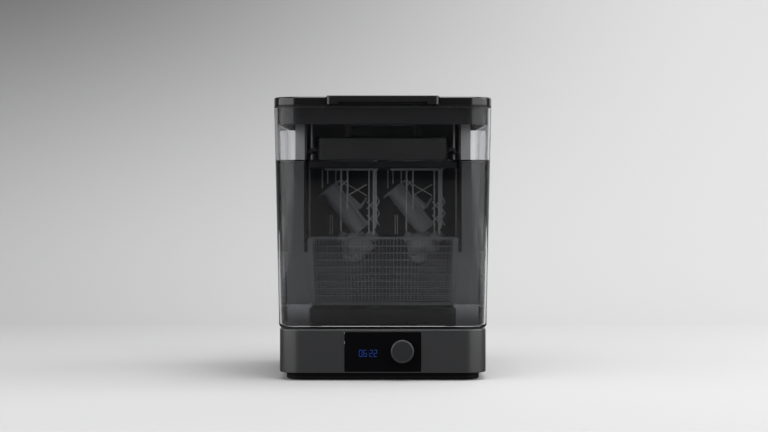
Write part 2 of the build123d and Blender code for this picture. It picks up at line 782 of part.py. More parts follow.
# ------------------------------------------------------------------ tank
with BuildPart() as tank:
    with BuildSketch(Plane.XY.offset(tank_z)):
        RectangleRounded(tank_width, tank_depth, tank_corner)
    extrude(amount=tank_height, taper=-tank_draft)
    fillet(tank.faces().sort_by(Axis.Z)[0].edges(), tank_base_fillet)
    fillet(tank.faces().sort_by(Axis.Z)[-1].edges(), 0.8)
    inside = 2 * (tank_floor * draft_slope - tank_wall)
    with BuildSketch(Plane.XY.offset(tank_floor_z)):
        RectangleRounded(tank_width + inside, tank_depth + inside, tank_corner + inside / 2)
    extrude(amount=tank_height - tank_floor, taper=-tank_draft, mode=Mode.SUBTRACT)
    fillet(tank.faces().filter_by(Plane.XY).group_by(Axis.Z)[1].edges(), tank_base_fillet - tank_wall)
    with BuildSketch(Plane.XY.offset(tank_floor_z)):
        Circle(boss_radius)
    extrude(amount=boss_height)
    with BuildSketch(Plane.XY.offset(tank_floor_z - pin_seat)):
        Circle(pin_radius)
    extrude(amount=pin_seat + boss_height, mode=Mode.SUBTRACT)
    with BuildSketch(Plane.XY.offset(tank_z)):
        with GridLocations(*seat_spacing, 2, 2):
            Circle(seat_stud_radius + move_gap)
    extrude(amount=seat_stud_height + move_gap, mode=Mode.SUBTRACT)
save(tank, "tank")

# ------------------------------------------------------------------ tank: impeller under its guard
impeller_z = tank_floor_z + boss_height + move_gap
disc_top = impeller_z + impeller_disc
hub_height = impeller_disc + vane_height
pin_bottom = tank_floor_z - pin_seat
clip_z = impeller_z + hub_height + 2 * move_gap
groove_radius = pin_radius - 0.6
bush_radius = pin_radius + running + bush_wall
impeller_hub_radius = bush_radius + 3

with BuildPart() as impeller_pin:
    with BuildSketch(Plane.XY.offset(pin_bottom)):
        Circle(pin_radius)
    extrude(amount=pin_length)
    chamfer(impeller_pin.faces().sort_by(Axis.Z)[-1].edges(), 0.5)
    with BuildSketch(Plane.XY.offset(clip_z)):
        Circle(pin_radius)
        Circle(groove_radius, mode=Mode.SUBTRACT)
    extrude(amount=clip_thickness, mode=Mode.SUBTRACT)
save(impeller_pin, "impeller_pin")

with BuildPart() as impeller_clip:
    with BuildSketch(Plane.XY.offset(clip_z)):
        Circle(pin_radius + 2.4)
        Circle(groove_radius, mode=Mode.SUBTRACT)
        with Locations((0, -pin_radius)):
            Rectangle(2 * groove_radius - 0.6, 2 * pin_radius, mode=Mode.SUBTRACT)
    extrude(amount=clip_thickness)
save(impeller_clip, "impeller_clip")

with BuildPart() as impeller_bush:
    with BuildSketch(Plane.XY.offset(impeller_z)):
        Circle(bush_radius)
        Circle(pin_radius + running, mode=Mode.SUBTRACT)
    extrude(amount=hub_height)
save(impeller_bush, "impeller_bush")

# a disc with swept-back vanes: each vane is a thickened arc from the hub to the rim
vane_root = (impeller_hub_radius - 1, 0)
vane_tip = (impeller_radius * 0.84, impeller_radius * 0.42)
vane_bend = 34
with BuildPart() as impeller:
    with BuildSketch(Plane.XY.offset(impeller_z)):
        Circle(impeller_radius)
    extrude(amount=impeller_disc)
    with BuildSketch(Plane.XY.offset(impeller_z)):
        Circle(impeller_hub_radius)
    extrude(amount=hub_height)
    for index in range(vane_count):
        with BuildSketch(Plane.XY.offset(disc_top).rotated((0, 0, index * 360 / vane_count))):
            with BuildLine():
                vane = RadiusArc(vane_root, vane_tip, vane_bend)
                offset(vane, vane_thickness / 2, side=Side.BOTH)
            make_face()
        extrude(amount=vane_height - 1)
    with BuildSketch(Plane.XY.offset(impeller_z)):
        Circle(bush_radius)
    extrude(amount=hub_height, mode=Mode.SUBTRACT)
    with BuildSketch(Plane.XY.offset(impeller_z)):
        with PolarLocations(magnet_circle, magnet_count):
            Circle(impeller_magnet_radius)
    extrude(amount=impeller_magnet_height, mode=Mode.SUBTRACT)
save(impeller, "impeller")

with BuildPart() as impeller_magnets:
    with BuildSketch(Plane.XY.offset(impeller_z)):
        with PolarLocations(magnet_circle, magnet_count):
            Circle(impeller_magnet_radius)
    extrude(amount=impeller_magnet_height)
save(impeller_magnets, "impeller_magnets")

with BuildPart() as impeller_guard:
    with BuildSketch(Plane.XY.offset(tank_floor_z)):
        RectangleRounded(*guard_size, guard_corner)
    extrude(amount=guard_height)
    fillet(impeller_guard.faces().sort_by(Axis.Z)[-1].edges(), guard_edge)
    with BuildSketch(Plane.XY.offset(tank_floor_z)):
        RectangleRounded(
            guard_size[0] - 2 * guard_wall, guard_size[1] - 2 * guard_wall, guard_corner - guard_wall
        )
    extrude(amount=guard_height - guard_wall, mode=Mode.SUBTRACT)
    with BuildSketch(Plane.XY.offset(guard_top)):
        with PolarLocations(guard_slot_circle, guard_slot_count):
            SlotOverall(*guard_slot)
    extrude(amount=-guard_wall, mode=Mode.SUBTRACT)
    # intake windows in the two side walls
    with BuildSketch(Plane.YZ):
        with Locations((0, tank_floor_z + guard_window[1])):
            with GridLocations(guard_window_pitch, 0, guard_window_count, 1):
                RectangleRounded(*guard_window, guard_window_corner)
    extrude(amount=guard_size[0], both=True, mode=Mode.SUBTRACT)
save(impeller_guard, "impeller_guard")

# ------------------------------------------------------------------ insert: top frame
ear_inner = hinge_knuckle / 2 + move_gap
deck_opening = (2 * arm_inner_x - 1, arm_back_y - arm_front_y + 1)
deck_opening_y = (arm_back_y + arm_front_y) / 2
arm_bolt_y = [-48.0, -16.0, 16.0, 48.0]
arm_bolt_x = arm_outer_x + bolt_flange / 2 - 1
baffle_bolt_x = (-75.0, -25.0, 25.0, 75.0)
arm_bolts = [(side * arm_bolt_x, y) for side in (-1, 1) for y in arm_bolt_y]
baffle_bolt_y = baffle_y + arm_thickness + bolt_flange / 2 - 1
baffle_bolts = [(x, baffle_bolt_y) for x in baffle_bolt_x]
insert_bolt_reach = arm_thickness + insert_deck

with BuildPart() as top_frame:
    with BuildSketch(Plane.XY.offset(flange_z)):
        RectangleRounded(*flange_size, flange_corner)
    extrude(amount=flange_thickness)
    chamfer(top_frame.faces().sort_by(Axis.Z)[-1].edges(), 0.4)
    with BuildSketch(Plane.XY.offset(flange_z)):
        RectangleRounded(*band_size, band_corner)
    extrude(amount=-band_height)
    chamfer(top_frame.faces().sort_by(Axis.Z)[0].edges(), 0.8)
    with BuildSketch(Plane.XY.offset(flange_z - band_height)):
        RectangleRounded(*band_inner, band_inner_corner)
    extrude(amount=band_height + flange_thickness, mode=Mode.SUBTRACT)
    with BuildSketch(Plane.XY.offset(insert_deck_under)):
        RectangleRounded(band_inner[0] + 1, band_inner[1] + 1, band_inner_corner)
        with Locations((0, deck_opening_y)):
            RectangleRounded(*deck_opening, 4, mode=Mode.SUBTRACT)
        with Locations(*arm_bolts, *baffle_bolts):
            Circle(screw_radius, mode=Mode.SUBTRACT)
    extrude(amount=insert_deck)
    # hinge ears on the rear edge
    for side in (-1, 1):
        for x in (-ear_inner - hinge_ear, ear_inner):
            with BuildSketch(Plane.YZ.offset(side * hinge_spacing / 2 + x)):
                with Locations((hinge_y, hinge_z)):
                    Circle(hinge_barrel)
                with Locations((hinge_y, hinge_z)):
                    Rectangle(2 * hinge_barrel, hinge_z - flange_z, align=(Align.CENTER, Align.MAX))
                with Locations((hinge_y, flange_z)):
                    Rectangle(hinge_barrel + 8, flange_thickness, align=(Align.MAX, Align.MIN))
                with Locations((hinge_y, hinge_z)):
                    Circle(hinge_pin_radius, mode=Mode.SUBTRACT)
            extrude(amount=hinge_ear)
save(top_frame, "top_frame")

with BuildPart() as hinge_pins:
    for side in (-1, 1):
        with BuildSketch(Plane.YZ.offset(side * hinge_spacing / 2)):
            with Locations((hinge_y, hinge_z)):
                Circle(hinge_pin_radius)
        extrude(amount=ear_inner + hinge_ear, both=True)
    chamfer(hinge_pins.edges().filter_by(GeomType.CIRCLE), 0.3)
save(hinge_pins, "hinge_pins")

with BuildPart() as insert_seal:
    with BuildSketch(Plane.XY.offset(flange_z)):
        rounded_ring((flange_size[0] - 1, flange_size[1] - 1), flange_corner - 0.5, 2)
    extrude(amount=-seal_thickness)
save(insert_seal, "insert_seal")

# ------------------------------------------------------------------ insert: arms and baffle
arm_top = insert_deck_under
arm_mid_y = (arm_front_y + arm_back_y) / 2
arm_depth = arm_back_y - arm_front_y


def hanging_arm(side):
    """One side plate of the insert, with its bolt flange and the two rails that carry the load."""
    with BuildPart() as arm:
        with BuildSketch(Plane.YZ.offset(side * arm_inner_x)):
            with Locations((arm_mid_y, arm_bottom)):
                Rectangle(arm_depth, arm_top - arm_bottom, align=(Align.CENTER, Align.MIN))
        extrude(amount=side * arm_thickness)
        fillet(arm.edges().filter_by(Axis.X).group_by(Axis.Z)[0], arm_corner)
        with BuildSketch(Plane.XY.offset(arm_top)):
            with Locations((side * (arm_outer_x + bolt_flange / 2), arm_mid_y)):
                Rectangle(bolt_flange, arm_depth - 4)
            with Locations(*[(x, y) for x, y in arm_bolts if x * side > 0]):
                Circle(screw_hole_radius, mode=Mode.SUBTRACT)
        extrude(amount=-arm_thickness)
        for rail_z, rail_width in (
            (platform_rail_z, platform_rail_width),
            (basket_rail_z, basket_rail_width),
        ):
            with BuildSketch(Plane.XY.offset(rail_z)):
                with Locations((side * (arm_inner_x - rail_width / 2), arm_mid_y)):
                    Rectangle(rail_width, arm_depth - 2 * rail_end)
            extrude(amount=-rail_height)
    return arm


save(hanging_arm(-1), "left_arm")
save(hanging_arm(1), "right_arm")

with BuildPart() as back_baffle:
    with BuildSketch(Plane.XZ.offset(-baffle_y)):
        with Locations((0, baffle_bottom)):
            Rectangle(2 * baffle_half, arm_top - baffle_bottom, align=(Align.CENTER, Align.MIN))
    extrude(amount=-arm_thickness)
    fillet(back_baffle.edges().filter_by(Axis.Y).group_by(Axis.Z)[0], arm_corner)
    with BuildSketch(Plane.XY.offset(arm_top)):
        with Locations((0, baffle_y + arm_thickness)):
            Rectangle(2 * baffle_half - 10, bolt_flange, align=(Align.CENTER, Align.MIN))
        with Locations(*baffle_bolts):
            Circle(screw_hole_radius, mode=Mode.SUBTRACT)
    extrude(amount=-arm_thickness)
save(back_baffle, "back_baffle")

with BuildPart() as baffle_wings:
    for side in (-1, 1):
        with BuildSketch(Plane.XZ.offset(-baffle_y - arm_thickness)):
            with Locations((side * (wing_half + baffle_half - wing_lap) / 2, baffle_bottom)):
                Rectangle(
                    wing_half - baffle_half + wing_lap,
                    arm_top - arm_thickness - baffle_bottom,
                    align=(Align.CENTER, Align.MIN),
                )
        extrude(amount=-wing_thickness)
save(baffle_wings, "baffle_wings")

under_flange = Plane(origin=(0, 0, arm_top - arm_thickness), x_dir=(-1, 0, 0), z_dir=(0, 0, -1))
save(screw_group(under_flange, [(-x, y) for x, y in arm_bolts], insert_bolt_reach), "arm_screws")
save(screw_group(under_flange, [(-x, y) for x, y in baffle_bolts], insert_bolt_reach), "baffle_screws")

# ------------------------------------------------------------------ insert: build platform
platform_mid_y = arm_mid_y
platform_screw_spots = [(x, y + platform_mid_y) for x, y in grid_spots(*platform_screw_spacing)]
platform_seat_x = arm_inner_x - 1.5

with BuildPart() as platform_plate:
    with BuildSketch(Plane.XY.offset(platform_bottom)):
        with Locations((0, platform_mid_y)):
            RectangleRounded(platform_width, platform_depth, 3)
    extrude(amount=platform_plate_thickness)
    chamfer(platform_plate.faces().sort_by(Axis.Z)[0].edges(), 0.6)
    with BuildSketch(Plane.XY.offset(platform_top)):
        with Locations(*platform_screw_spots):
            Circle(screw_radius)
    extrude(amount=-platform_screw_bite, mode=Mode.SUBTRACT)
save(platform_plate, "platform_plate")

# a casting, open underneath; its side lips rest on the insert's rails
with BuildPart() as platform_body:
    with BuildSketch(Plane.XY.offset(platform_top)):
        with Locations((0, platform_mid_y)):
            RectangleRounded(*platform_body_size, 8)
    extrude(amount=platform_body_height)
    fillet(platform_body.faces().sort_by(Axis.Z)[-1].edges(), 3)
    with BuildSketch(Plane.XY.offset(platform_rail_z)):
        with Locations((0, platform_mid_y)):
            RectangleRounded(2 * platform_seat_x, platform_body_size[1] - 8, 2)
    extrude(amount=platform_lip)
    with BuildSketch(Plane.XY.offset(platform_top)):
        with Locations((0, platform_mid_y)):
            Rectangle(platform_body_size[0] - 2 * platform_wall, platform_body_size[1] - 2 * platform_wall)
        with Locations(*platform_screw_spots):
            Circle(platform_boss_radius, mode=Mode.SUBTRACT)
    extrude(amount=platform_body_height - platform_wall, mode=Mode.SUBTRACT)
    with BuildSketch(Plane.XY.offset(platform_top)):
        with Locations(*platform_screw_spots):
            Circle(screw_hole_radius)
    extrude(amount=platform_body_height, mode=Mode.SUBTRACT)
save(platform_body, "platform_body")

body_plane = Plane.XY.offset(body_top)
platform_screw_length = platform_body_height + platform_screw_bite
save(screw_group(body_plane, platform_screw_spots, platform_screw_length), "platform_screws")

with BuildPart() as platform_handle:
    with BuildSketch(Plane.XZ.offset(-platform_mid_y)):
        with Locations((0, body_top)):
            Rectangle(grip_width, grip_height, align=(Align.CENTER, Align.MIN))
    extrude(amount=grip_depth / 2, both=True)
    fillet(platform_handle.edges().filter_by(Axis.Y).group_by(Axis.Z)[-1], 8)
    with BuildSketch(Plane.XZ.offset(-platform_mid_y)):
        with Locations((0, body_top)):
            Rectangle(grip_width - 2 * grip_bar, grip_height - grip_bar, align=(Align.CENTER, Align.MIN))
    extrude(amount=grip_depth / 2, both=True, mode=Mode.SUBTRACT)
save(platform_handle, "platform_handle")

# ------------------------------------------------------------------ insert: wire basket
basket_ring_top = basket_bottom + basket_bottom_bar
bottom_half_x = basket_half_x - basket_taper
bottom_depth = basket_depth - 2 * basket_taper
mesh_gap = 0.1          # between the meshes and the bars that frame them
post_inset_x = basket_post[0] / 2 + 0.5
post_inset_y = basket_post[1] / 2 + 0.5
lean = degrees(atan2(basket_taper, basket_rim_z - basket_ring_top))

with BuildPart() as basket_frame:
    with BuildSketch(Plane.XY.offset(basket_rim_z)):
        with Locations((0, basket_mid_y)):
            RectangleRounded(2 * basket_half_x, basket_depth, 3)
            Rectangle(2 * (basket_half_x - basket_rim), basket_depth - 2 * basket_rim, mode=Mode.SUBTRACT)
    extrude(amount=basket_rim_height)
    with BuildSketch(Plane.XY.offset(basket_bottom)):
        with Locations((0, basket_mid_y)):
            RectangleRounded(2 * bottom_half_x, bottom_depth, 3)
            Rectangle(2 * (bottom_half_x - basket_rim), bottom_depth - 2 * basket_rim, mode=Mode.SUBTRACT)
    extrude(amount=basket_bottom_bar)
    for x, y in ((-1, -1), (-1, 1), (1, -1), (1, 1)):
        for z, half_x, half_y in (
            (basket_ring_top, bottom_half_x, bottom_depth / 2),
            (basket_rim_z, basket_half_x, basket_depth / 2),
        ):
            with BuildSketch(Plane.XY.offset(z)):
                with Locations((x * (half_x - post_inset_x), basket_mid_y + y * (half_y - post_inset_y))):
                    Rectangle(*basket_post)
        loft()
save(basket_frame, "basket_frame")

mesh_drop = (basket_rim_z - basket_ring_top - 2 * mesh_gap) / cos(radians(lean))
mesh_face = basket_rim - 1.4    # the meshes' outer faces, in from the rim's inner edge


def mesh_holes(width, height):
    """Square holes that fill a panel of this size, centred on it."""
    columns = int((width - 2 * mesh_corner) / mesh_pitch)
    rows = int((height - mesh_corner) / mesh_pitch)
    with GridLocations(mesh_pitch, mesh_pitch, columns, rows):
        Rectangle(mesh_pitch - wire, mesh_pitch - wire, mode=Mode.SUBTRACT)


def mesh_wall(facing, reach, half_width, post):
    """A wire wall that leans inwards going down, between two corner posts."""
    drop = radians(lean)
    outward = Vector(0, -cos(drop), -sin(drop)).rotate(Axis.Z, facing)
    along = Vector(1, 0, 0).rotate(Axis.Z, facing)
    middle = Vector(0, basket_mid_y, basket_rim_z - mesh_gap) + Vector(0, -reach, 0).rotate(Axis.Z, facing)
    face = Plane(origin=middle, x_dir=along, z_dir=outward)
    top = half_width - 0.5 - post - mesh_gap
    bottom = top - basket_taper
    with BuildPart() as wall:
        with BuildSketch(face):
            Polygon((-bottom, -mesh_drop), (bottom, -mesh_drop), (top, 0), (-top, 0), align=None)
            with Locations((0, -mesh_drop / 2)):
                mesh_holes(2 * bottom, mesh_drop)
        extrude(amount=-wire)
    return wall


front_reach = basket_depth / 2 - 1
side_reach = basket_half_x - mesh_face
save(mesh_wall(0, front_reach, basket_half_x, basket_post[0]), "basket_front_mesh")
save(mesh_wall(180, front_reach, basket_half_x, basket_post[0]), "basket_back_mesh")
save(mesh_wall(-90, side_reach, basket_depth / 2, basket_post[1]), "basket_left_mesh")
save(mesh_wall(90, side_reach, basket_depth / 2, basket_post[1]), "basket_right_mesh")

with BuildPart() as basket_floor_mesh:
    floor_size = (
        2 * (bottom_half_x - basket_rim - mesh_gap),
        bottom_depth - 2 * (basket_rim + mesh_gap),
    )
    with BuildSketch(Plane.XY.offset(basket_bottom + 1)):
        with Locations((0, basket_mid_y)):
            Rectangle(*floor_size)
            mesh_holes(*floor_size)
    extrude(amount=wire)
save(basket_floor_mesh, "basket_floor_mesh")

# ------------------------------------------------------------------ lid
lid_size = flange_size
lid_inner = (lid_size[0] - 2 * lid_wall, lid_size[1] - 2 * lid_wall)
lid_inner_corner = flange_corner - lid_wall
roof_under = lid_top - lid_roof
liner_z = lid_z + lid_seal_thickness
grip_back = -lid_size[1] / 2 + lid_wall - fit_gap
grip_screw_y = grip_back + tongue_depth / 2 + 1

with BuildPart() as lid_shell:
    with BuildSketch(Plane.XY.offset(lid_z)):
        RectangleRounded(*lid_size, flange_corner)
    extrude(amount=lid_height)
    fillet(lid_shell.faces().sort_by(Axis.Z)[-1].edges(), lid_edge)
    with BuildSketch(Plane.XY.offset(lid_z)):
        RectangleRounded(*lid_inner, lid_inner_corner)
    extrude(amount=lid_height - lid_roof, mode=Mode.SUBTRACT)
    # hinge knuckles on the rear wall
    for side in (-1, 1):
        with BuildSketch(Plane.YZ.offset(side * hinge_spacing / 2)):
            with Locations((hinge_y, hinge_z)):
                Circle(hinge_barrel)
                Rectangle(
                    hinge_y - lid_size[1] / 2 + lid_wall / 2,
                    2 * hinge_barrel,
                    align=(Align.MAX, Align.CENTER),
                )
                Circle(hinge_pin_radius + running, mode=Mode.SUBTRACT)
        extrude(amount=hinge_knuckle / 2, both=True)
    # notch for the finger grip
    with BuildSketch(Plane.XY.offset(lid_z)):
        with Locations((0, -lid_size[1] / 2)):
            Rectangle(finger_grip_width + 2 * finger_grip_slit, 2 * lid_wall)
    extrude(amount=lid_height, mode=Mode.SUBTRACT)
    with BuildSketch(Plane.XY.offset(roof_under)):
        with Locations(*[(x, grip_screw_y) for x in grip_screw_x]):
            Circle(screw_radius)
    extrude(amount=grip_screw_bite, mode=Mode.SUBTRACT)
save(lid_shell, "lid_shell")

with BuildPart() as lid_grip:
    with BuildSketch(Plane.XY.offset(lid_z + fit_gap)):
        with Locations((0, -overhang_y)):
            Rectangle(finger_grip_width, grip_back + overhang_y, align=(Align.CENTER, Align.MIN))
    extrude(amount=lid_height + finger_grip_rise - fit_gap)
    fillet(lid_grip.edges().filter_by(Axis.Z).group_by(Axis.Y)[0], 4)
    fillet(lid_grip.faces().sort_by(Axis.Z)[-1].edges(), 1)
    with BuildSketch(Plane.XY.offset(roof_under)):
        with Locations((0, grip_back)):
            Rectangle(finger_grip_width - 8, tongue_depth, align=(Align.CENTER, Align.MIN))
        with Locations(*[(x, grip_screw_y) for x in grip_screw_x]):
            Circle(screw_hole_radius, mode=Mode.SUBTRACT)
    extrude(amount=-tongue_thickness)
    # hollow under the fingertips
    with BuildSketch(Plane.XY.offset(lid_z + fit_gap)):
        with Locations((0, -overhang_y)):
            Rectangle(finger_scoop[0], finger_scoop[1], align=(Align.CENTER, Align.MIN))
    extrude(amount=finger_scoop[2], mode=Mode.SUBTRACT)
save(lid_grip, "lid_grip")

under_tongue = Plane(origin=(0, 0, roof_under - tongue_thickness), x_dir=(-1, 0, 0), z_dir=(0, 0, -1))
grip_screw_spots = [(-x, grip_screw_y) for x in grip_screw_x]
save(screw_group(under_tongue, grip_screw_spots, tongue_thickness + grip_screw_bite), "grip_screws")

with BuildPart() as lid_liner:
    with BuildSketch(Plane.XY.offset(liner_z)):
        RectangleRounded(lid_inner[0] - fit_gap, lid_inner[1] - fit_gap, lid_inner_corner)
    extrude(amount=liner_thickness)
save(lid_liner, "lid_liner")

with BuildPart() as lid_seal:
    with BuildSketch(Plane.XY.offset(lid_z)):
        rounded_ring((lid_inner[0] - 1, lid_inner[1] - 1), lid_inner_corner - 0.5, lid_seal_width)
    extrude(amount=lid_seal_thickness)
save(lid_seal, "lid_seal")
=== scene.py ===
"""Looks of the resin wash station: finishes, wire basket, liquid, sample prints, timer and studio."""
import json
from math import radians, tan

import bmesh
import bpy
from mathutils import Matrix, Vector, noise


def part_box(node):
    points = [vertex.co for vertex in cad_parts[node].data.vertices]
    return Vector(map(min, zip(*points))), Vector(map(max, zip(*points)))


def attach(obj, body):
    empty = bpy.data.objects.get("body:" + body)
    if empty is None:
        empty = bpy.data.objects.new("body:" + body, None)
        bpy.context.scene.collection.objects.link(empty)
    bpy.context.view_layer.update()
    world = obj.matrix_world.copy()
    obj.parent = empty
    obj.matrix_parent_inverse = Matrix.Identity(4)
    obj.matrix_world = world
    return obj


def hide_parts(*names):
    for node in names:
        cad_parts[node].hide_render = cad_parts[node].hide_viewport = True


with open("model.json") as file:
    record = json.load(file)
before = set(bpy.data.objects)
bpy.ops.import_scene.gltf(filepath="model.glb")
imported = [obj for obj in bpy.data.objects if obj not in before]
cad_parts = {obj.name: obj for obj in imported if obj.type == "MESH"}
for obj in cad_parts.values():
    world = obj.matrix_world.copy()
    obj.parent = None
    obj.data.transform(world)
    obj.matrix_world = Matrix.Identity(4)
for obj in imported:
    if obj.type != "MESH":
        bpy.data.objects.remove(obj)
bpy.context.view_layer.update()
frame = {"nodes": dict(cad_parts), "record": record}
nodes = frame["nodes"]

mm = 0.001


# ---- Node helpers ---------------------------------------------------------

def add_node(tree, kind, inputs=None, **settings):
    """A node with its settings made and its inputs set or linked."""
    node = tree.nodes.new(kind)
    for name, value in settings.items():
        setattr(node, name, value)
    for name, value in (inputs or {}).items():
        if isinstance(value, bpy.types.NodeSocket):
            tree.links.new(value, node.inputs[name])
        else:
            node.inputs[name].default_value = value
    return node


def new_group(name, inputs, outputs):
    """An empty node group, with its input node and output node."""
    tree = bpy.data.node_groups.new(name, "ShaderNodeTree")
    for socket_name, kind, value in inputs:
        socket = tree.interface.new_socket(name=socket_name, in_out="INPUT", socket_type=kind)
        socket.default_value = value
    for socket_name, kind in outputs:
        tree.interface.new_socket(name=socket_name, in_out="OUTPUT", socket_type=kind)
    return tree, tree.nodes.new("NodeGroupInput"), tree.nodes.new("NodeGroupOutput")


def spread_about(tree, middle, mask, amount):
    """A value that goes above and below its middle by amount, as a mask goes from 1 to 0."""
    centred = add_node(tree, "ShaderNodeMath", {0: mask, 1: 0.5}, operation="SUBTRACT")
    doubled = add_node(tree, "ShaderNodeMath", {0: centred.outputs[0], 1: 2.0}, operation="MULTIPLY")
    scaled = add_node(
        tree, "ShaderNodeMath", {0: doubled.outputs[0], 1: amount, 2: middle}, operation="MULTIPLY_ADD"
    )
    return scaled.outputs[0]


def end_group(tree, given, result, shade, roughness, height):
    """Puts out a group's tone, lighter and darker with the shade mask, its roughness and its height."""
    brightness = spread_about(tree, 1.0, shade, given.outputs["Tone Spread"])
    tone = add_node(
        tree, "ShaderNodeHueSaturation", {"Color": given.outputs["Tone"], "Value": brightness}
    )
    tree.links.new(tone.outputs["Color"], result.inputs["Color"])
    tree.links.new(roughness, result.inputs["Roughness"])
    tree.links.new(height, result.inputs["Height"])
    return tree


COLOR, FLOAT, VECTOR = "NodeSocketColor", "NodeSocketFloat", "NodeSocketVector"
worked_outputs = [("Color", COLOR), ("Roughness", FLOAT), ("Height", FLOAT)]


# ---- Shared surface effects -----------------------------------------------

def moulded_grain():
    """Spark-eroded mould texture, with slow changes of tone and sheen across the part."""
    tree, given, result = new_group(
        "Moulded Grain",
        [
            ("Tone", COLOR, (0.05, 0.05, 0.05, 1)),
            ("Tone Spread", FLOAT, 0.06),
            ("Roughness", FLOAT, 0.4),
            ("Roughness Spread", FLOAT, 0.04),
            ("Grain Scale", FLOAT, 2400.0),
        ],
        worked_outputs,
    )
    place = tree.nodes.new("ShaderNodeTexCoord").outputs["Object"]
    patches = add_node(
        tree, "ShaderNodeTexNoise", {"Vector": place, "Scale": 17.0, "Detail": 4.0, "Roughness": 0.55}
    ).outputs["Fac"]
    grain = add_node(
        tree,
        "ShaderNodeTexNoise",
        {"Vector": place, "Scale": given.outputs["Grain Scale"], "Detail": 2.0, "Roughness": 0.6},
    ).outputs["Fac"]
    both = add_node(tree, "ShaderNodeMath", {0: patches, 1: grain}, operation="ADD")
    halved = add_node(tree, "ShaderNodeMath", {0: both.outputs[0], 1: 0.5}, operation="MULTIPLY")
    sheen = spread_about(
        tree, given.outputs["Roughness"], patches, given.outputs["Roughness Spread"]
    )
    return end_group(tree, given, result, halved.outputs[0], sheen, grain)


def brushed_lines():
    """Fine straight lines left by a belt or a lathe, stretched along one direction."""
    tree, given, result = new_group(
        "Brushed Lines",
        [
            ("Tone", COLOR, (0.5, 0.5, 0.5, 1)),
            ("Tone Spread", FLOAT, 0.1),
            ("Roughness", FLOAT, 0.3),
            ("Roughness Spread", FLOAT, 0.08),
            ("Stretch", VECTOR, (60.0, 3000.0, 3000.0)),
        ],
        worked_outputs,
    )
    place = tree.nodes.new("ShaderNodeTexCoord").outputs["Object"]
    stretched = add_node(
        tree,
        "ShaderNodeVectorMath",
        {0: place, 1: given.outputs["Stretch"]},
        operation="MULTIPLY",
    )
    lines = add_node(
        tree, "ShaderNodeTexNoise", {"Vector": stretched.outputs[0], "Scale": 1.0, "Detail": 3.0}
    ).outputs["Fac"]
    sheen = spread_about(tree, given.outputs["Roughness"], lines, given.outputs["Roughness Spread"])
    return end_group(tree, given, result, lines, sheen, lines)


def handling_smudges():
    """Soft wiped patches and hairline scratches on a polished surface."""
    tree, given, result = new_group(
        "Handling Smudges",
        [
            ("Tone", COLOR, (0.02, 0.02, 0.02, 1)),
            ("Tone Spread", FLOAT, 0.02),
            ("Roughness", FLOAT, 0.04),
            ("Smudge", FLOAT, 0.05),
        ],
        worked_outputs,
    )
    place = tree.nodes.new("ShaderNodeTexCoord").outputs["Object"]
    wiped = add_node(
        tree,
        "ShaderNodeTexNoise",
        {"Vector": place, "Scale": 28.0, "Detail": 5.0, "Roughness": 0.65, "Distortion": 0.8},
    ).outputs["Fac"]
    sharp = add_node(
        tree, "ShaderNodeMapRange", {"Value": wiped, "From Min": 0.5, "From Max": 0.8}
    ).outputs["Result"]
    slanted = add_node(
        tree, "ShaderNodeMapping", {"Vector": place, "Rotation": (0.3, 0.5, 0.7), "Scale": (9, 700, 700)}
    ).outputs["Vector"]
    hairlines = add_node(
        tree, "ShaderNodeTexNoise", {"Vector": slanted, "Scale": 1.0, "Detail": 2.0}
    ).outputs["Fac"]
    rough = add_node(
        tree,
        "ShaderNodeMath",
        {0: sharp, 1: given.outputs["Smudge"], 2: given.outputs["Roughness"]},
        operation="MULTIPLY_ADD",
    )
    return end_group(tree, given, result, wiped, rough.outputs[0], hairlines)


def printed_layers():
    """Level layer lines of a resin print, with a mottled surface between them."""
    tree, given, result = new_group(
        "Printed Layers",
        [
            ("Tone", COLOR, (0.2, 0.2, 0.2, 1)),
            ("Tone Spread", FLOAT, 0.15),
            ("Roughness", FLOAT, 0.4),
            ("Roughness Spread", FLOAT, 0.08),
            ("Layer Scale", FLOAT, 1600.0),
        ],
        worked_outputs,
    )
    place = tree.nodes.new("ShaderNodeTexCoord").outputs["Object"]
    layers = add_node(
        tree,
        "ShaderNodeTexWave",
        {"Vector": place, "Scale": given.outputs["Layer Scale"], "Distortion": 0.3, "Detail": 1.0},
        bands_direction="Z",
    ).outputs["Fac"]
    mottle = add_node(
        tree, "ShaderNodeTexNoise", {"Vector": place, "Scale": 180.0, "Detail": 4.0}
    ).outputs["Fac"]
    sheen = spread_about(tree, given.outputs["Roughness"], mottle, given.outputs["Roughness Spread"])
    return end_group(tree, given, result, mottle, sheen, layers)


grain_effect = moulded_grain()
brushed_effect = brushed_lines()
smudge_effect = handling_smudges()
layer_effect = printed_layers()


# ---- Material families ----------------------------------------------------

grain_depth = 0.06 * mm
brushed_depth = 0.04 * mm
smudge_depth = 0.02 * mm
layer_depth = 0.05 * mm


def surface(name, effect, effect_values, relief, relief_depth, shader_values):
    """A material: one effect group feeds the shader's colour and roughness, and a bump its normal."""
    material = bpy.data.materials.new(name)
    material.use_nodes = True
    tree = material.node_tree
    shader = tree.nodes["Principled BSDF"]
    worked = add_node(tree, "ShaderNodeGroup", effect_values, node_tree=effect)
    tree.links.new(worked.outputs["Color"], shader.inputs["Base Color"])
    tree.links.new(worked.outputs["Roughness"], shader.inputs["Roughness"])
    bump = add_node(
        tree,
        "ShaderNodeBump",
        {"Height": worked.outputs["Height"], "Strength": relief, "Distance": relief_depth},
    )
    tree.links.new(bump.outputs["Normal"], shader.inputs["Normal"])
    for socket, value in shader_values.items():
        shader.inputs[socket].default_value = value
    return material


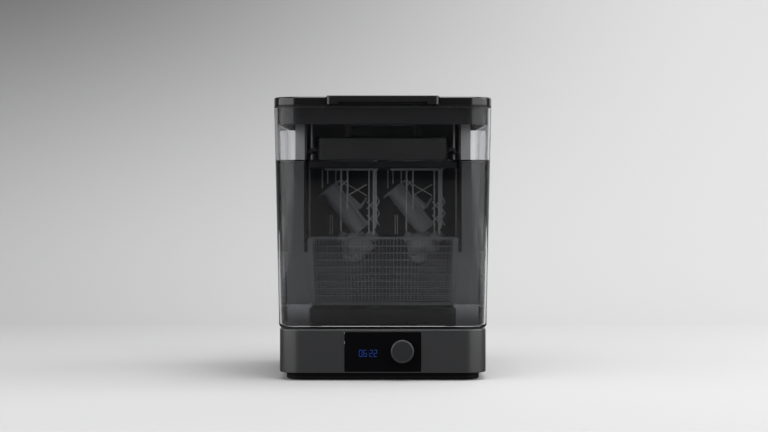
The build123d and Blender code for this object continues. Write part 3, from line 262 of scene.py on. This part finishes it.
def moulding(
    name, tone, roughness, grain=2400.0, spread=0.06, sheen=0.04, relief=0.25, **shader_values
):
    """A moulded plastic or rubber."""
    values = {
        "Tone": (*tone, 1),
        "Tone Spread": spread,
        "Roughness": roughness,
        "Roughness Spread": sheen,
        "Grain Scale": grain,
    }
    return surface(name, grain_effect, values, relief, grain_depth, shader_values)


def metalwork(name, tone, roughness, stretch, spread=0.10, sheen=0.08, relief=0.2, **shader_values):
    """A bare metal. stretch sets which way its lines run."""
    values = {
        "Tone": (*tone, 1),
        "Tone Spread": spread,
        "Roughness": roughness,
        "Roughness Spread": sheen,
        "Stretch": stretch,
    }
    return surface(name, brushed_effect, values, relief, brushed_depth, {"Metallic": 1.0, **shader_values})


def polished(name, tone, roughness, smudge, spread=0.03, relief=0.03, **shader_values):
    """A smooth glossy or clear surface."""
    values = {"Tone": (*tone, 1), "Tone Spread": spread, "Roughness": roughness, "Smudge": smudge}
    return surface(name, smudge_effect, values, relief, smudge_depth, shader_values)


def clear_where(material, mask, passed):
    """Where the mask is 1 the material isn't there, and light goes through dimmed to the share passed."""
    tree = material.node_tree
    clear = add_node(tree, "ShaderNodeBsdfTransparent", {"Color": (passed, passed, passed, 1)})
    mixed = add_node(
        tree,
        "ShaderNodeMixShader",
        {0: mask, 1: tree.nodes["Principled BSDF"].outputs[0], 2: clear.outputs[0]},
    )
    tree.links.new(mixed.outputs[0], tree.nodes["Material Output"].inputs["Surface"])
    return material


def let_shadows_through(material, passed):
    """Shadow rays pass a clear piece, so that what is behind it is lit."""
    path = material.node_tree.nodes.new("ShaderNodeLightPath")
    return clear_where(material, path.outputs["Is Shadow Ray"], passed)


def open_from_behind(material):
    """A wall that is seen from its front only, so that it never hides the unit."""
    faced = material.node_tree.nodes.new("ShaderNodeNewGeometry")
    return clear_where(material, faced.outputs["Backfacing"], 1.0)


def dim_tone(material, share):
    """The colour that reaches the shader is dimmed to a share that changes over the surface, as painted
    shade.
    """
    tree = material.node_tree
    tone = tree.nodes["Principled BSDF"].inputs["Base Color"]
    dimmed = add_node(
        tree, "ShaderNodeHueSaturation", {"Color": tone.links[0].from_socket, "Value": share}
    )
    tree.links.new(dimmed.outputs["Color"], tone)
    return material


def paint_rim_shade(material, start, kept):
    """Painted shade: a clear wall passes less light where it is seen edge on, so its edges look dark."""
    tree = material.node_tree
    turned = tree.nodes.new("ShaderNodeLayerWeight").outputs["Facing"]
    share = add_node(
        tree,
        "ShaderNodeMapRange",
        {"Value": turned, "From Min": start, "From Max": 1.0, "To Min": 1.0, "To Max": kept},
    )
    return dim_tone(material, share.outputs["Result"])


def paint_shade_below(material, bottom, top, kept):
    """Painted shade: a liquid's tone darkens more and more from one height down to another."""
    tree = material.node_tree
    place = tree.nodes.new("ShaderNodeTexCoord").outputs["Object"]
    height = add_node(tree, "ShaderNodeSeparateXYZ", {"Vector": place}).outputs["Z"]
    share = add_node(
        tree,
        "ShaderNodeMapRange",
        {"Value": height, "From Min": bottom * mm, "From Max": top * mm, "To Min": kept, "To Max": 1.0},
    )
    return dim_tone(material, share.outputs["Result"])


along_x = (40.0, 2600.0, 2600.0)
along_y = (2600.0, 40.0, 2600.0)
along_z = (2600.0, 2600.0, 40.0)
spun = (900.0, 900.0, 900.0)
fine_blast = (1200.0, 1200.0, 1200.0)
coarse_blast = (1500.0, 1500.0, 1500.0)
tank_passed = 0.85          # share of the light that goes through the tank to what is inside

finishes = {
    # outer mouldings
    "base_plastic": moulding(
        "Base Satin Grey", (0.038, 0.0385, 0.040), 0.30, grain=2200.0, spread=0.08,
        **{"Specular IOR Level": 0.95},
    ),
    "plinth_plastic": moulding(
        "Plinth Matt Black", (0.003, 0.003, 0.0032), 0.70, grain=1900.0, sheen=0.06,
        **{"Specular IOR Level": 0.2},
    ),
    "lid_plastic": moulding("Lid Satin Black", (0.009, 0.009, 0.0095), 0.15, grain=2600.0, sheen=0.03),
    "grip_plastic": moulding("Grip Satin Black", (0.010, 0.010, 0.0105), 0.27, grain=3000.0, sheen=0.03),
    "panel_gloss": polished("Panel Piano Black", (0.0025, 0.0025, 0.003), 0.05, 0.06),
    "knob_plastic": moulding("Knob Fluted Grey", (0.050, 0.051, 0.054), 0.34, grain=3200.0),
    "knob_face": metalwork("Knob Spun Face", (0.075, 0.076, 0.079), 0.50, spun, sheen=0.05),
    "display_lens": polished("Display Smoked Lens", (0.006, 0.006, 0.009), 0.04, 0.04),
    # tank and insert
    "tank_clear": let_shadows_through(
        polished(
            "Tank Clear Acrylic", (0.885, 0.89, 0.90), 0.008, 0.03, spread=0.01, relief=0.01,
            IOR=1.19, **{"Transmission Weight": 1.0},
        ),
        tank_passed,
    ),
    "arm_plastic": moulding("Arm Smooth Black", (0.011, 0.011, 0.012), 0.36, grain=2000.0),
    "liner_plastic": moulding("Liner Smooth Black", (0.018, 0.018, 0.019), 0.45, grain=2300.0),
    "handle_plastic": moulding("Handle Black", (0.013, 0.013, 0.014), 0.38, grain=2100.0),
    "guard_plastic": moulding("Guard Black", (0.006, 0.006, 0.0065), 0.50, grain=1700.0),
    "impeller_plastic": moulding("Impeller Black", (0.016, 0.016, 0.017), 0.40, grain=2500.0),
    "hub_plastic": moulding("Hub Grey Nylon", (0.05, 0.05, 0.054), 0.50, grain=1500.0),
    "bush_plastic": moulding("Bush Natural Acetal", (0.72, 0.71, 0.67), 0.38, grain=2700.0, spread=0.03),
    "platform_aluminium": metalwork(
        "Platform Blasted Aluminium", (0.06, 0.06, 0.063), 0.50, coarse_blast, relief=0.5
    ),
    "platform_casting": moulding(
        "Platform Black Anodised", (0.010, 0.010, 0.0105), 0.48, grain=1400.0, relief=0.4
    ),
    "basket_steel": metalwork("Basket Stainless Wire", (0.42, 0.425, 0.43), 0.30, along_z, spread=0.12),
    "wing_plastic": moulding("Wing Mid Grey", (0.35, 0.35, 0.355), 0.42, grain=2150.0),
    # rubber
    "foot_rubber": moulding(
        "Foot Rubber", (0.012, 0.012, 0.012), 0.78, grain=900.0, spread=0.12, relief=0.5
    ),
    "seat_rubber": moulding(
        "Pad Rubber", (0.015, 0.015, 0.016), 0.72, grain=1100.0, spread=0.12, relief=0.5
    ),
    "seal_rubber": moulding("Seal Silicone", (0.030, 0.030, 0.031), 0.55, grain=1300.0, spread=0.08),
    # rear fittings
    "switch_plastic": moulding("Switch Bezel Black", (0.012, 0.012, 0.013), 0.40, grain=2900.0),
    "rocker_plastic": polished("Rocker Polished Black", (0.010, 0.010, 0.011), 0.14, 0.08),
    "jack_plastic": moulding("Jack Black Nylon", (0.012, 0.012, 0.013), 0.46, grain=2050.0),
    "nut_brass": metalwork("Nut Brass", (0.60, 0.42, 0.16), 0.30, along_y),
    # inside
    "screw_steel": metalwork("Screw Black Oxide", (0.09, 0.09, 0.095), 0.38, fine_blast),
    "encoder_metal": metalwork("Encoder Nickel", (0.50, 0.49, 0.47), 0.28, along_y),
    "motor_steel": metalwork("Motor Zinc Can", (0.40, 0.40, 0.42), 0.35, along_z),
    "bracket_steel": metalwork("Bracket Sheet Steel", (0.48, 0.48, 0.50), 0.33, along_x),
    "pin_steel": metalwork("Pin Ground Stainless", (0.58, 0.58, 0.60), 0.20, along_x),
    "magnet_nickel": metalwork("Magnet Nickel", (0.62, 0.60, 0.56), 0.14, along_x, spread=0.05),
    "circuit_board": polished("Circuit Board Green", (0.008, 0.075, 0.030), 0.30, 0.15, spread=0.2),
}

# nodes that share a slot but not a finish
own_finish = {
    "top_frame": moulding(
        "Frame Satin Black", (0.010, 0.010, 0.0105), 0.34, grain=2500.0, **{"Specular IOR Level": 0.2}
    ),
    "back_baffle": moulding("Baffle Matt Grey", (0.080, 0.080, 0.082), 0.50, grain=1800.0),
    "basket_frame": metalwork("Basket Satin Frame", (0.30, 0.303, 0.308), 0.40, along_x, spread=0.12),
}

for part in frame["record"]["subparts"]:
    shown = nodes[part["node"]].data
    shown.materials.clear()
    shown.materials.append(own_finish.get(part["node"], finishes[part["material_slot"]]))


# ---- Mesh helpers ---------------------------------------------------------

def add_rod(work, start, end, radius, tip=None, sides=6):
    """A straight round rod between two points, in millimetres. tip is its radius at the end."""
    start, end = Vector(start) * mm, Vector(end) * mm
    along = end - start
    turn = along.to_track_quat("Z", "Y").to_matrix().to_4x4()
    made = bmesh.ops.create_cone(
        work,
        cap_ends=True,
        segments=sides,
        radius1=radius * mm,
        radius2=(radius if tip is None else tip) * mm,
        depth=along.length,
        matrix=Matrix.Translation((start + end) / 2) @ turn,
    )
    return made["verts"]


def add_block(work, centre, size, edge=0.0, segments=3):
    """A box with all its edges rounded, in millimetres."""
    place = Matrix.Translation(Vector(centre) * mm) @ Matrix.Diagonal((*(Vector(size) * mm), 1))
    made = bmesh.ops.create_cube(work, size=1.0, matrix=place)["verts"]
    if edge:
        edges = {e for v in made for e in v.link_edges}
        bmesh.ops.bevel(
            work, geom=list(edges), offset=edge * mm, offset_type="OFFSET", segments=segments,
            profile=0.5, affect="EDGES", material=-1,
        )
    return made


def finish_piece(work, name, material, body, soft_angle=40.0):
    """Turns the working mesh into a piece that moves with its body."""
    bmesh.ops.recalc_face_normals(work, faces=work.faces)
    mesh = bpy.data.meshes.new(name)
    work.to_mesh(mesh)
    work.free()
    mesh.shade_smooth()
    mesh.set_sharp_from_angle(angle=radians(soft_angle))
    mesh.materials.append(material)
    piece = bpy.data.objects.new(name, mesh)
    bpy.context.scene.collection.objects.link(piece)
    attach(piece, body)
    return piece


# ---- Wire basket ----------------------------------------------------------

wire_radius = 0.48          # of the level wires and the floor's
wire_pitch = 9.4
upright_radius = 0.26
upright_pitch = 4.7
level_inset = 2.2 * wire_radius     # of the level wires, behind the uprights
floor_wire_drop = 0.5
floor_wire_rise = 0.7


def wire_side(name, node, across):
    """One leaning wall of crossed wires. across is 0 for the front and back walls, 1 for the ends."""
    low, high = (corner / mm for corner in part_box(node))
    depth = 1 - across
    middle = (low[across] + high[across]) / 2
    outward = 1 if low[depth] + high[depth] > 0 else -1
    top_face = high[depth] if outward > 0 else low[depth]
    bottom_face = (low[depth] if outward > 0 else high[depth]) + outward * 2 * wire_radius
    half_top = (high[across] - low[across]) / 2
    half_bottom = half_top - abs(top_face - bottom_face)
    work = bmesh.new()

    def at(share, rise, inset):
        """A point on the wall: share from -1 to 1 across it, rise from 0 to 1 up it."""
        point = [0.0, 0.0, low.z + (high.z - low.z) * rise]
        point[across] = middle + share * (half_bottom + (half_top - half_bottom) * rise)
        point[depth] = bottom_face + (top_face - bottom_face) * rise - outward * inset
        return point

    uprights = round(2 * half_bottom / upright_pitch)
    for i in range(uprights + 1):
        share = -1 + 2 * i / uprights
        add_rod(work, at(share, 0, wire_radius), at(share, 1, wire_radius), upright_radius)
    levels = round((high.z - low.z) / wire_pitch)
    for i in range(1, levels):
        rise = i / levels
        add_rod(work, at(-1, rise, level_inset), at(1, rise, level_inset), wire_radius)
    piece = finish_piece(work, name, finishes["basket_steel"], "insert", 70.0)
    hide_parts(node)
    return piece


def wire_floor():
    """The basket's floor, one layer of wires on the other."""
    low, high = (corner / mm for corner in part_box("basket_floor_mesh"))
    work = bmesh.new()
    level = (low.z + high.z) / 2
    columns = round((high.x - low.x) / wire_pitch)
    for i in range(1, columns):
        x = low.x + (high.x - low.x) * i / columns
        under = level - floor_wire_drop
        add_rod(work, (x, low.y, under), (x, high.y, under), wire_radius)
    rows = round((high.y - low.y) / wire_pitch)
    for i in range(1, rows):
        y = low.y + (high.y - low.y) * i / rows
        over = level + floor_wire_rise
        add_rod(work, (low.x, y, over), (high.x, y, over), wire_radius)
    piece = finish_piece(
        work, "basket_floor_wires", finishes["basket_steel"], "insert", 70.0
    )
    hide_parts("basket_floor_mesh")


wire_side("basket_front_wires", "basket_front_mesh", 0)
wire_side("basket_back_wires", "basket_back_mesh", 0)
wire_side("basket_left_wires", "basket_left_mesh", 1)
wire_side("basket_right_wires", "basket_right_mesh", 1)
wire_floor()


# ---- Wash liquid ----------------------------------------------------------

liquid_top = 289.0
liquid_lap = 0.4            # into the tank's wall, so that no air shows between them
liquid_corner = 28.0
liquid_floor_round = 2.0
meniscus_steps = ((1.0, 1.0), (1.6, 0.6))   # width and fall of each step in from the wall
liquid_passed = 0.5
# painted shade in the liquid: from this height down to the tank's floor its tone darkens
painted_shade_top = 110.0
painted_shade_kept = 0.12           # share of the liquid's tone that is left at the floor
# painted shade on the tank's walls where they are seen edge on
rim_shade_start = 0.40            # how far the tank's wall has turned away where it begins to darken
rim_shade_kept = 0.35
tank_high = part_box("tank")[1] / mm
tank_wall = 3.0
tank_floor_top = 72.0
tank_lean = tan(radians(1.28))

wash_liquid = let_shadows_through(
    polished(
        "Wash Liquid", (0.27, 0.273, 0.283), 0.0, 0.0, spread=0.02, relief=0.004,
        IOR=1.33, **{"Transmission Weight": 1.0},
    ),
    liquid_passed,
)
# painted shade: the liquid gets darker towards the tank's floor
paint_shade_below(wash_liquid, tank_floor_top, painted_shade_top, painted_shade_kept)
# painted shade on the tank's edges where they are seen edge on
paint_rim_shade(finishes["tank_clear"], rim_shade_start, rim_shade_kept)


def tank_liquid():
    """The liquid up to its level, leaning with the tank's walls and climbing a little at them."""
    work = bmesh.new()
    inset = tank_wall - liquid_lap + (tank_high.z - liquid_top) * tank_lean
    half_x, half_y = tank_high.x - inset, tank_high.y - inset
    bottom = tank_floor_top - liquid_lap
    add_block(
        work,
        (0, 0, (liquid_top + bottom) / 2),
        (2 * half_x, 2 * half_y, liquid_top - bottom),
    )
    uprights = [e for e in work.edges if abs(e.verts[0].co.z - e.verts[1].co.z) > 1 * mm]
    bmesh.ops.bevel(
        work, geom=uprights, offset=liquid_corner * mm, offset_type="OFFSET", segments=24,
        profile=0.5, affect="EDGES", material=-1,
    )
    shrink = (liquid_top - bottom) * tank_lean
    for vert in work.verts:
        if vert.co.z < tank_floor_top * mm:
            vert.co.x *= 1 - shrink / half_x
            vert.co.y *= 1 - shrink / half_y
    floor = [f for f in work.faces if f.normal.z < -0.9 and len(f.verts) > 8]
    bmesh.ops.bevel(
        work, geom=[e for f in floor for e in f.edges], offset=liquid_floor_round * mm,
        offset_type="OFFSET", segments=4, profile=0.5, affect="EDGES", material=-1,
    )
    top = [f for f in work.faces if f.normal.z > 0.9 and len(f.verts) > 8]
    for width, fall in meniscus_steps:
        bmesh.ops.inset_region(work, faces=top, thickness=width * mm, depth=-fall * mm)
    return finish_piece(work, "wash_liquid", wash_liquid, "tank", 30.0)


tank_liquid()


# ---- Sample prints on the build platform ----------------------------------

def print_resin(name, tone, roughness):
    """Cured resin with its layer lines."""
    values = {
        "Tone": (*tone, 1),
        "Tone Spread": 0.25,
        "Roughness": roughness,
        "Roughness Spread": 0.10,
        "Layer Scale": 1600.0,
    }
    return surface(name, layer_effect, values, 0.35, layer_depth, {})


print_body_resin = print_resin("Print Grey Resin", (0.27, 0.275, 0.28), 0.40)
support_resin = print_resin("Support Pale Resin", (0.50, 0.50, 0.51), 0.36)
platform_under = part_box("platform_plate")[0].z / mm
print_spacing = 88.6
print_offset = -1.5         # of the pair, to one side of the platform's middle
drawn_under = 276.0         # height of the platform's underside that the prints are drawn for

# flanged tube
flange_centre = Vector((-28.0, 0.0, 250.0))
tube_run = Vector((0.62, 0.0, -0.78))
tube_rise = Vector((0.78, 0.0, 0.62))       # square to the tube's run
tube_length = 72.0
tube_radius = 12.0
flange_radius = 18.5
flange_thickness = 3.0
collars = ((16, 19, 1.6), (44, 50, 1.2))    # start and end along the tube, height over it
ridge_side = 8.0
ridge_radius = 2.2
branch_side = 7.0
branch_root = Vector((25.0, 0.0, -9.0))     # from the flange's centre
branch_knee = Vector((43.0, 0.0, -26.5))
branch_tip = Vector((9.0, 0.0, 14.0))       # from the knee

# rough foot: place of each lump from the foot's middle, radius, seed, stretch
foot_middle = Vector((-7.0, 0, -18.0))      # from the tube's end
foot_lumps = (
    ((0.0, 0.0, 0.0), 17.5, 3.0, (1.25, 1.1, 0.95)),
    ((-4.0, 2.0, -17.0), 11.0, 8.0, (1.2, 1.0, 0.8)),
    ((21.0, -3.0, 9.0), 8.0, 5.0, (1.2, 1.0, 0.9)),
    ((17.0, 4.0, -5.0), 7.0, 1.0, (1.1, 1.2, 1.0)),
    ((-17.0, 0.0, 7.0), 7.5, 6.0, (1.0, 1.1, 1.1)),
)

# supports, in rows from front to back
support_rows = (-20.0, -7.0, 7.0, 20.0)
raft_size = (72.0, 64.0, 1.98)
raft_drop = 1.0                             # of its middle, under the platform
support_drop = 1.8                          # of the supports' tops, inside the raft
raft_offset = 3.5
raft_edge = 0.9
tube_steps = (4.0, 17.0, 30.0)              # of the supports along the tube
tube_support_radius = 0.75
# across, radius and lowest point
tall_supports = ((-11.0, 0.9, 192.0), (27.0, 0.9, 190.0), (33.5, 1.5, 188.0), (36.0, 0.8, 196.0))
short_supports = ((-36.0, 250.0), (-29.0, 256.0))
short_radius = 0.7
braces = (                                  # from and to across, upper and lower height
    (-2.0, 24.0, 255.0, 240.0),
    (24.0, 33.5, 232.0, 222.0),
    (24.0, 33.5, 214.0, 204.0),
    (-11.0, -2.0, 262.0, 252.0),
)
brace_radius = 0.55
zigzag_across = 37.0
zigzag_top = 240.0
zigzag_step = (4.0, 8.0)                    # across and down
zigzag_radius = 0.5
short_row_share = 0.7                       # of each row's distance from the middle
middle_support = (-2.0, 222.0, 1.1)         # across, lowest point, radius
outer_support = (zigzag_across, 200.0, 0.7)
loose_pins = (-23.0, -26.0)
loose_pin_row = 14.0
loose_pin_radius = 0.8
loose_pin_ends = (214.0, 188.0)


def lumpy_ball(work, centre, radius, seed, stretch=(1, 1, 1)):
    """A rounded rock-like mass."""
    place = Matrix.Translation(Vector(centre) * mm)
    made = bmesh.ops.create_icosphere(work, subdivisions=4, radius=1.0)["verts"]
    for vert in made:
        swell = 1 + 0.28 * noise.noise(vert.co * 1.3 + Vector((seed, 0, 0)))
        swell += 0.10 * noise.noise(vert.co * 4.0 + Vector((0, seed, 0)))
        vert.co = Vector(a * b for a, b in zip(vert.co, stretch)) * swell * radius * mm
    bmesh.ops.transform(work, matrix=place, verts=made)


def hang(work):
    """Moves a print drawn under drawn_under up or down to the platform."""
    bmesh.ops.translate(work, verts=work.verts, vec=(0, 0, (platform_under - drawn_under) * mm))


def sample_print(name, shift):
    """A flanged tube on a rough foot, printed hanging from the platform."""
    work = bmesh.new()
    start = flange_centre + Vector((shift, 0, 0))
    end = start + tube_run * tube_length
    add_rod(work, start, end, tube_radius, sides=48)
    add_rod(work, start, start + tube_run * flange_thickness, flange_radius, sides=56)
    for near, far, height in collars:
        add_rod(work, start + tube_run * near, start + tube_run * far, tube_radius + height, sides=48)
    ridge = tube_rise * (tube_radius - 1)
    for side in (-ridge_side, ridge_side):
        across = Vector((0, side, 0))
        add_rod(work, start + ridge + across, end + ridge + across, ridge_radius, sides=12)
    for side in (-branch_side, branch_side):
        across = Vector((0, side, 0))
        root, knee = start + branch_root + across, start + branch_knee + across
        add_rod(work, root, knee, 3.2, tip=4.2, sides=16)
        add_rod(work, knee, knee + branch_tip, 1.8, tip=1.2, sides=12)
    for place, radius, seed, stretch in foot_lumps:
        lumpy_ball(work, end + foot_middle + Vector(place), radius, seed, stretch)
    hang(work)
    finish_piece(work, name, print_body_resin, "insert", 35.0)


def sample_supports(name, shift):
    """Raft, upright supports and their cross bracing."""
    work = bmesh.new()
    add_block(work, (shift + raft_offset, 0, drawn_under - raft_drop), raft_size, edge=raft_edge)
    tops = drawn_under - support_drop

    def upright(row, across, low, radius):
        """A support from the raft straight down to the height low."""
        add_rod(work, (shift + across, row, tops), (shift + across, row, low), radius)

    for row in support_rows:
        reach = (tube_radius**2 - min(abs(row), tube_radius - 1) ** 2) ** 0.5
        for step in tube_steps:
            point = Vector((flange_centre.x + shift, row, flange_centre.z)) + tube_run * step
            landing = point + tube_rise * reach
            if abs(row) < tube_radius and landing.z < tops:
                neck = (landing.x, row, landing.z + 3)
                add_rod(work, (landing.x, row, tops), neck, tube_support_radius)
                add_rod(work, neck, landing, tube_support_radius, tip=0.3)
        for across, radius, low in tall_supports:
            upright(row, across, low, radius)
        for across, low in short_supports:
            upright(row * short_row_share, across, low, short_radius)
        for first, second, high, low in braces:
            add_rod(work, (shift + first, row, high), (shift + second, row, low), brace_radius)
            add_rod(work, (shift + first, row, low), (shift + second, row, high), brace_radius)
        upright(row, *middle_support)
        turns = [
            (shift + zigzag_across + zigzag_step[0] * (i % 2), zigzag_top - zigzag_step[1] * i)
            for i in range(6)
        ]
        for (x0, z0), (x1, z1) in zip(turns, turns[1:]):
            add_rod(work, (x0, row, z0), (x1, row, z1), zigzag_radius)
        upright(row, *outer_support)
    for across in loose_pins:
        high, low = ((shift + across, loose_pin_row, height) for height in loose_pin_ends)
        add_rod(work, high, low, loose_pin_radius)
    hang(work)
    finish_piece(work, name, support_resin, "insert", 70.0)


for side, label in ((-1, "left"), (1, "right")):
    shift = side * print_spacing / 2 + print_offset
    sample_print(f"sample_print_{label}", shift)
    sample_supports(f"sample_supports_{label}", shift)


# ---- Timer digits ---------------------------------------------------------

panel_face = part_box("front_panel")[0].y / mm
digit_height = 9.0
digit_width = 4.3
stroke = 0.7
digits_left = -31.0
digits_base = 31.4
digit_shifts = (0.0, 5.7, 13.6, 19.3)
colon_shift = 11.8
colon_rises = (0.32, 0.68)      # of the two dots, as shares of a digit's height
segment_depth = 0.12
segment_sink = 0.05
segment_edge = 0.05

timer_glow = surface(
    "Timer Blue Segments",
    smudge_effect,
    {"Tone": (0.01, 0.03, 0.12, 1), "Tone Spread": 0.1, "Roughness": 0.2, "Smudge": 0.05},
    0.02,
    smudge_depth,
    {"Emission Color": (0.016, 0.050, 0.34, 1), "Emission Strength": 0.4},
)

segment_codes = {"0": "abcdef", "2": "abged", "6": "acdefg"}


def segment_places(left, base):
    """Centre and size of each of a digit's seven strokes."""
    half = digit_height / 2
    span = digit_width - stroke
    middle = left + digit_width / 2
    return {
        "a": ((middle, base + digit_height - stroke / 2), (span, stroke)),
        "g": ((middle, base + half), (span, stroke)),
        "d": ((middle, base + stroke / 2), (span, stroke)),
        "f": ((left + stroke / 2, base + 1.5 * half), (stroke, half - stroke)),
        "b": ((left + digit_width - stroke / 2, base + 1.5 * half), (stroke, half - stroke)),
        "e": ((left + stroke / 2, base + 0.5 * half), (stroke, half - stroke)),
        "c": ((left + digit_width - stroke / 2, base + 0.5 * half), (stroke, half - stroke)),
    }


def timer_digits():
    """Four digits and a colon, lit from inside."""
    work = bmesh.new()
    strokes = []
    for shift, digit in zip(digit_shifts, "0622"):
        places = segment_places(digits_left + shift, digits_base)
        strokes += [places[code] for code in segment_codes[digit]]
    for rise in colon_rises:
        centre = (digits_left + colon_shift, digits_base + digit_height * rise)
        strokes.append((centre, (stroke, stroke)))
    for (x, z), (wide, tall) in strokes:
        add_block(
            work, (x, panel_face - segment_sink, z), (wide, segment_depth, tall),
            edge=segment_edge, segments=1,
        )
    return finish_piece(work, "timer_digits", timer_glow, "base")


timer_digits()


# ---- Studio ---------------------------------------------------------------

sweep_back = 0.75
sweep_radius = 0.9
sweep_half = 2.4
sweep_top = 3.2
floor_front = -4.0
floor_back = 4.0
# painted light and shade on the wall: its lit tone and its shaded tone
wall_painted_lit = (0.49, 0.49, 0.49, 1)
wall_painted_shade = (0.11, 0.11, 0.11, 1)
camera_place = (1.6 * mm, -2.33, 0.256)
camera_lens = 79
camera_shift = -0.0404
air_tone = (0.9, 0.92, 1.0, 1)
air_strength = 0.04

floor_paper = moulding("Floor Paper", (0.50, 0.50, 0.50), 0.90, grain=600.0, spread=0.01, relief=0.02)
wall_paper = moulding("Wall Paper", (0.46, 0.46, 0.46), 0.90, grain=600.0, spread=0.01, relief=0.02)


def paint_wall_shade(material):
    """Painted shade: the wall's tone falls off slowly towards its upper left."""
    tree = material.node_tree
    worked = next(n for n in tree.nodes if n.type == "GROUP")
    place = add_node(
        tree, "ShaderNodeSeparateXYZ", {0: tree.nodes.new("ShaderNodeTexCoord").outputs["Object"]}
    )
    leftward = add_node(
        tree,
        "ShaderNodeMapRange",
        {"Value": place.outputs["X"], "From Min": 0.9, "From Max": -1.0},
        interpolation_type="SMOOTHSTEP",
    )
    upward = add_node(
        tree,
        "ShaderNodeMapRange",
        {"Value": place.outputs["Z"], "From Min": 0.05, "From Max": 0.95},
        interpolation_type="SMOOTHSTEP",
    )
    both = add_node(
        tree, "ShaderNodeMath", {0: leftward.outputs[0], 1: upward.outputs[0]}, operation="MULTIPLY"
    )
    tone = add_node(
        tree,
        "ShaderNodeMix",
        {0: both.outputs[0], 6: wall_painted_lit, 7: wall_painted_shade},
        data_type="RGBA",
    )
    tree.links.new(tone.outputs[2], worked.inputs["Tone"])


# painted shade on the wall, darker towards its upper left
paint_wall_shade(wall_paper)
open_from_behind(wall_paper)


def stage_piece(work, name, paper):
    """Turns the working mesh into part of the studio."""
    bmesh.ops.recalc_face_normals(work, faces=work.faces)
    if sum(f.normal.z for f in work.faces) < 0:
        bmesh.ops.reverse_faces(work, faces=work.faces)
    mesh = bpy.data.meshes.new(name)
    work.to_mesh(mesh)
    work.free()
    mesh.shade_smooth()
    mesh.materials.append(paper)
    piece = bpy.data.objects.new(name, mesh)
    bpy.context.scene.collection.objects.link(piece)
    return piece


def studio_floor():
    """A level sheet that throws no light back up into the unit."""
    work = bmesh.new()
    place = Matrix.Translation((0, (floor_back + floor_front) / 2, 0)) @ Matrix.Diagonal(
        (sweep_half, (floor_back - floor_front) / 2, 1, 1)
    )
    bmesh.ops.create_grid(work, x_segments=1, y_segments=1, size=1.0, matrix=place)
    floor = stage_piece(work, "studio_floor", floor_paper)
    floor.visible_diffuse = False
    floor.visible_glossy = False


def studio_wall():
    """The floor's sheet goes on into a curve and a wall."""
    work = bmesh.new()
    ends = [work.verts.new((x, sweep_back, 0.0)) for x in (-sweep_half, sweep_half)]
    edge = work.edges.new(ends)
    spun = bmesh.ops.spin(
        work,
        geom=[edge, *ends],
        cent=(0, sweep_back, sweep_radius),
        axis=(1, 0, 0),
        angle=radians(90),
        steps=32,
        use_duplicate=False,
    )["geom_last"]
    last = [e for e in spun if isinstance(e, bmesh.types.BMEdge)]
    wall = bmesh.ops.extrude_edge_only(work, edges=last)["geom"]
    bmesh.ops.translate(
        work,
        verts=[v for v in wall if isinstance(v, bmesh.types.BMVert)],
        vec=(0, 0, sweep_top - sweep_radius),
    )
    stage_piece(work, "studio_wall", wall_paper)


def softbox(name, place, target, width, height, power):
    """A wide soft light that points at its target."""
    lamp = bpy.data.lights.new(name, "AREA")
    lamp.shape = "RECTANGLE"
    lamp.size, lamp.size_y = width, height
    lamp.energy = power
    light = bpy.data.objects.new(name, lamp)
    light.location = place
    light.rotation_euler = (Vector(target) - Vector(place)).to_track_quat("-Z", "Y").to_euler()
    bpy.context.scene.collection.objects.link(light)


studio_floor()
studio_wall()
softbox("softbox_left", (-1.7, -1.8, 1.0), (0, -1.8, 1.0), 4.2, 2.0, 60)
softbox("softbox_right", (1.7, -1.8, 1.0), (0, -1.8, 1.0), 4.2, 2.0, 60)
softbox("softbox_top", (0.3, 0.0, 2.6), (0.1, 0.1, 0), 1.6, 1.2, 31)
softbox("softbox_wall", (1.7, 0.3, 1.6), (0.9, 1.7, 0.6), 1.2, 1.4, 26)
softbox("softbox_floor", (0.2, -0.9, 2.4), (0.1, -0.2, 0), 2.4, 1.4, 31)

world = bpy.data.worlds.new("studio_air")
world.use_nodes = True
world.node_tree.nodes["Background"].inputs["Color"].default_value = air_tone
world.node_tree.nodes["Background"].inputs["Strength"].default_value = air_strength
bpy.context.scene.world = world

camera_data = bpy.data.cameras.new("camera")
camera_data.sensor_width = 36
camera_data.lens = camera_lens
camera_data.shift_y = camera_shift
camera = bpy.data.objects.new("camera", camera_data)
camera.location = camera_place
camera.rotation_euler = (radians(90), 0, 0)
bpy.context.scene.collection.objects.link(camera)
bpy.context.scene.camera = camera

bpy.context.scene.view_settings.view_transform = "Standard"
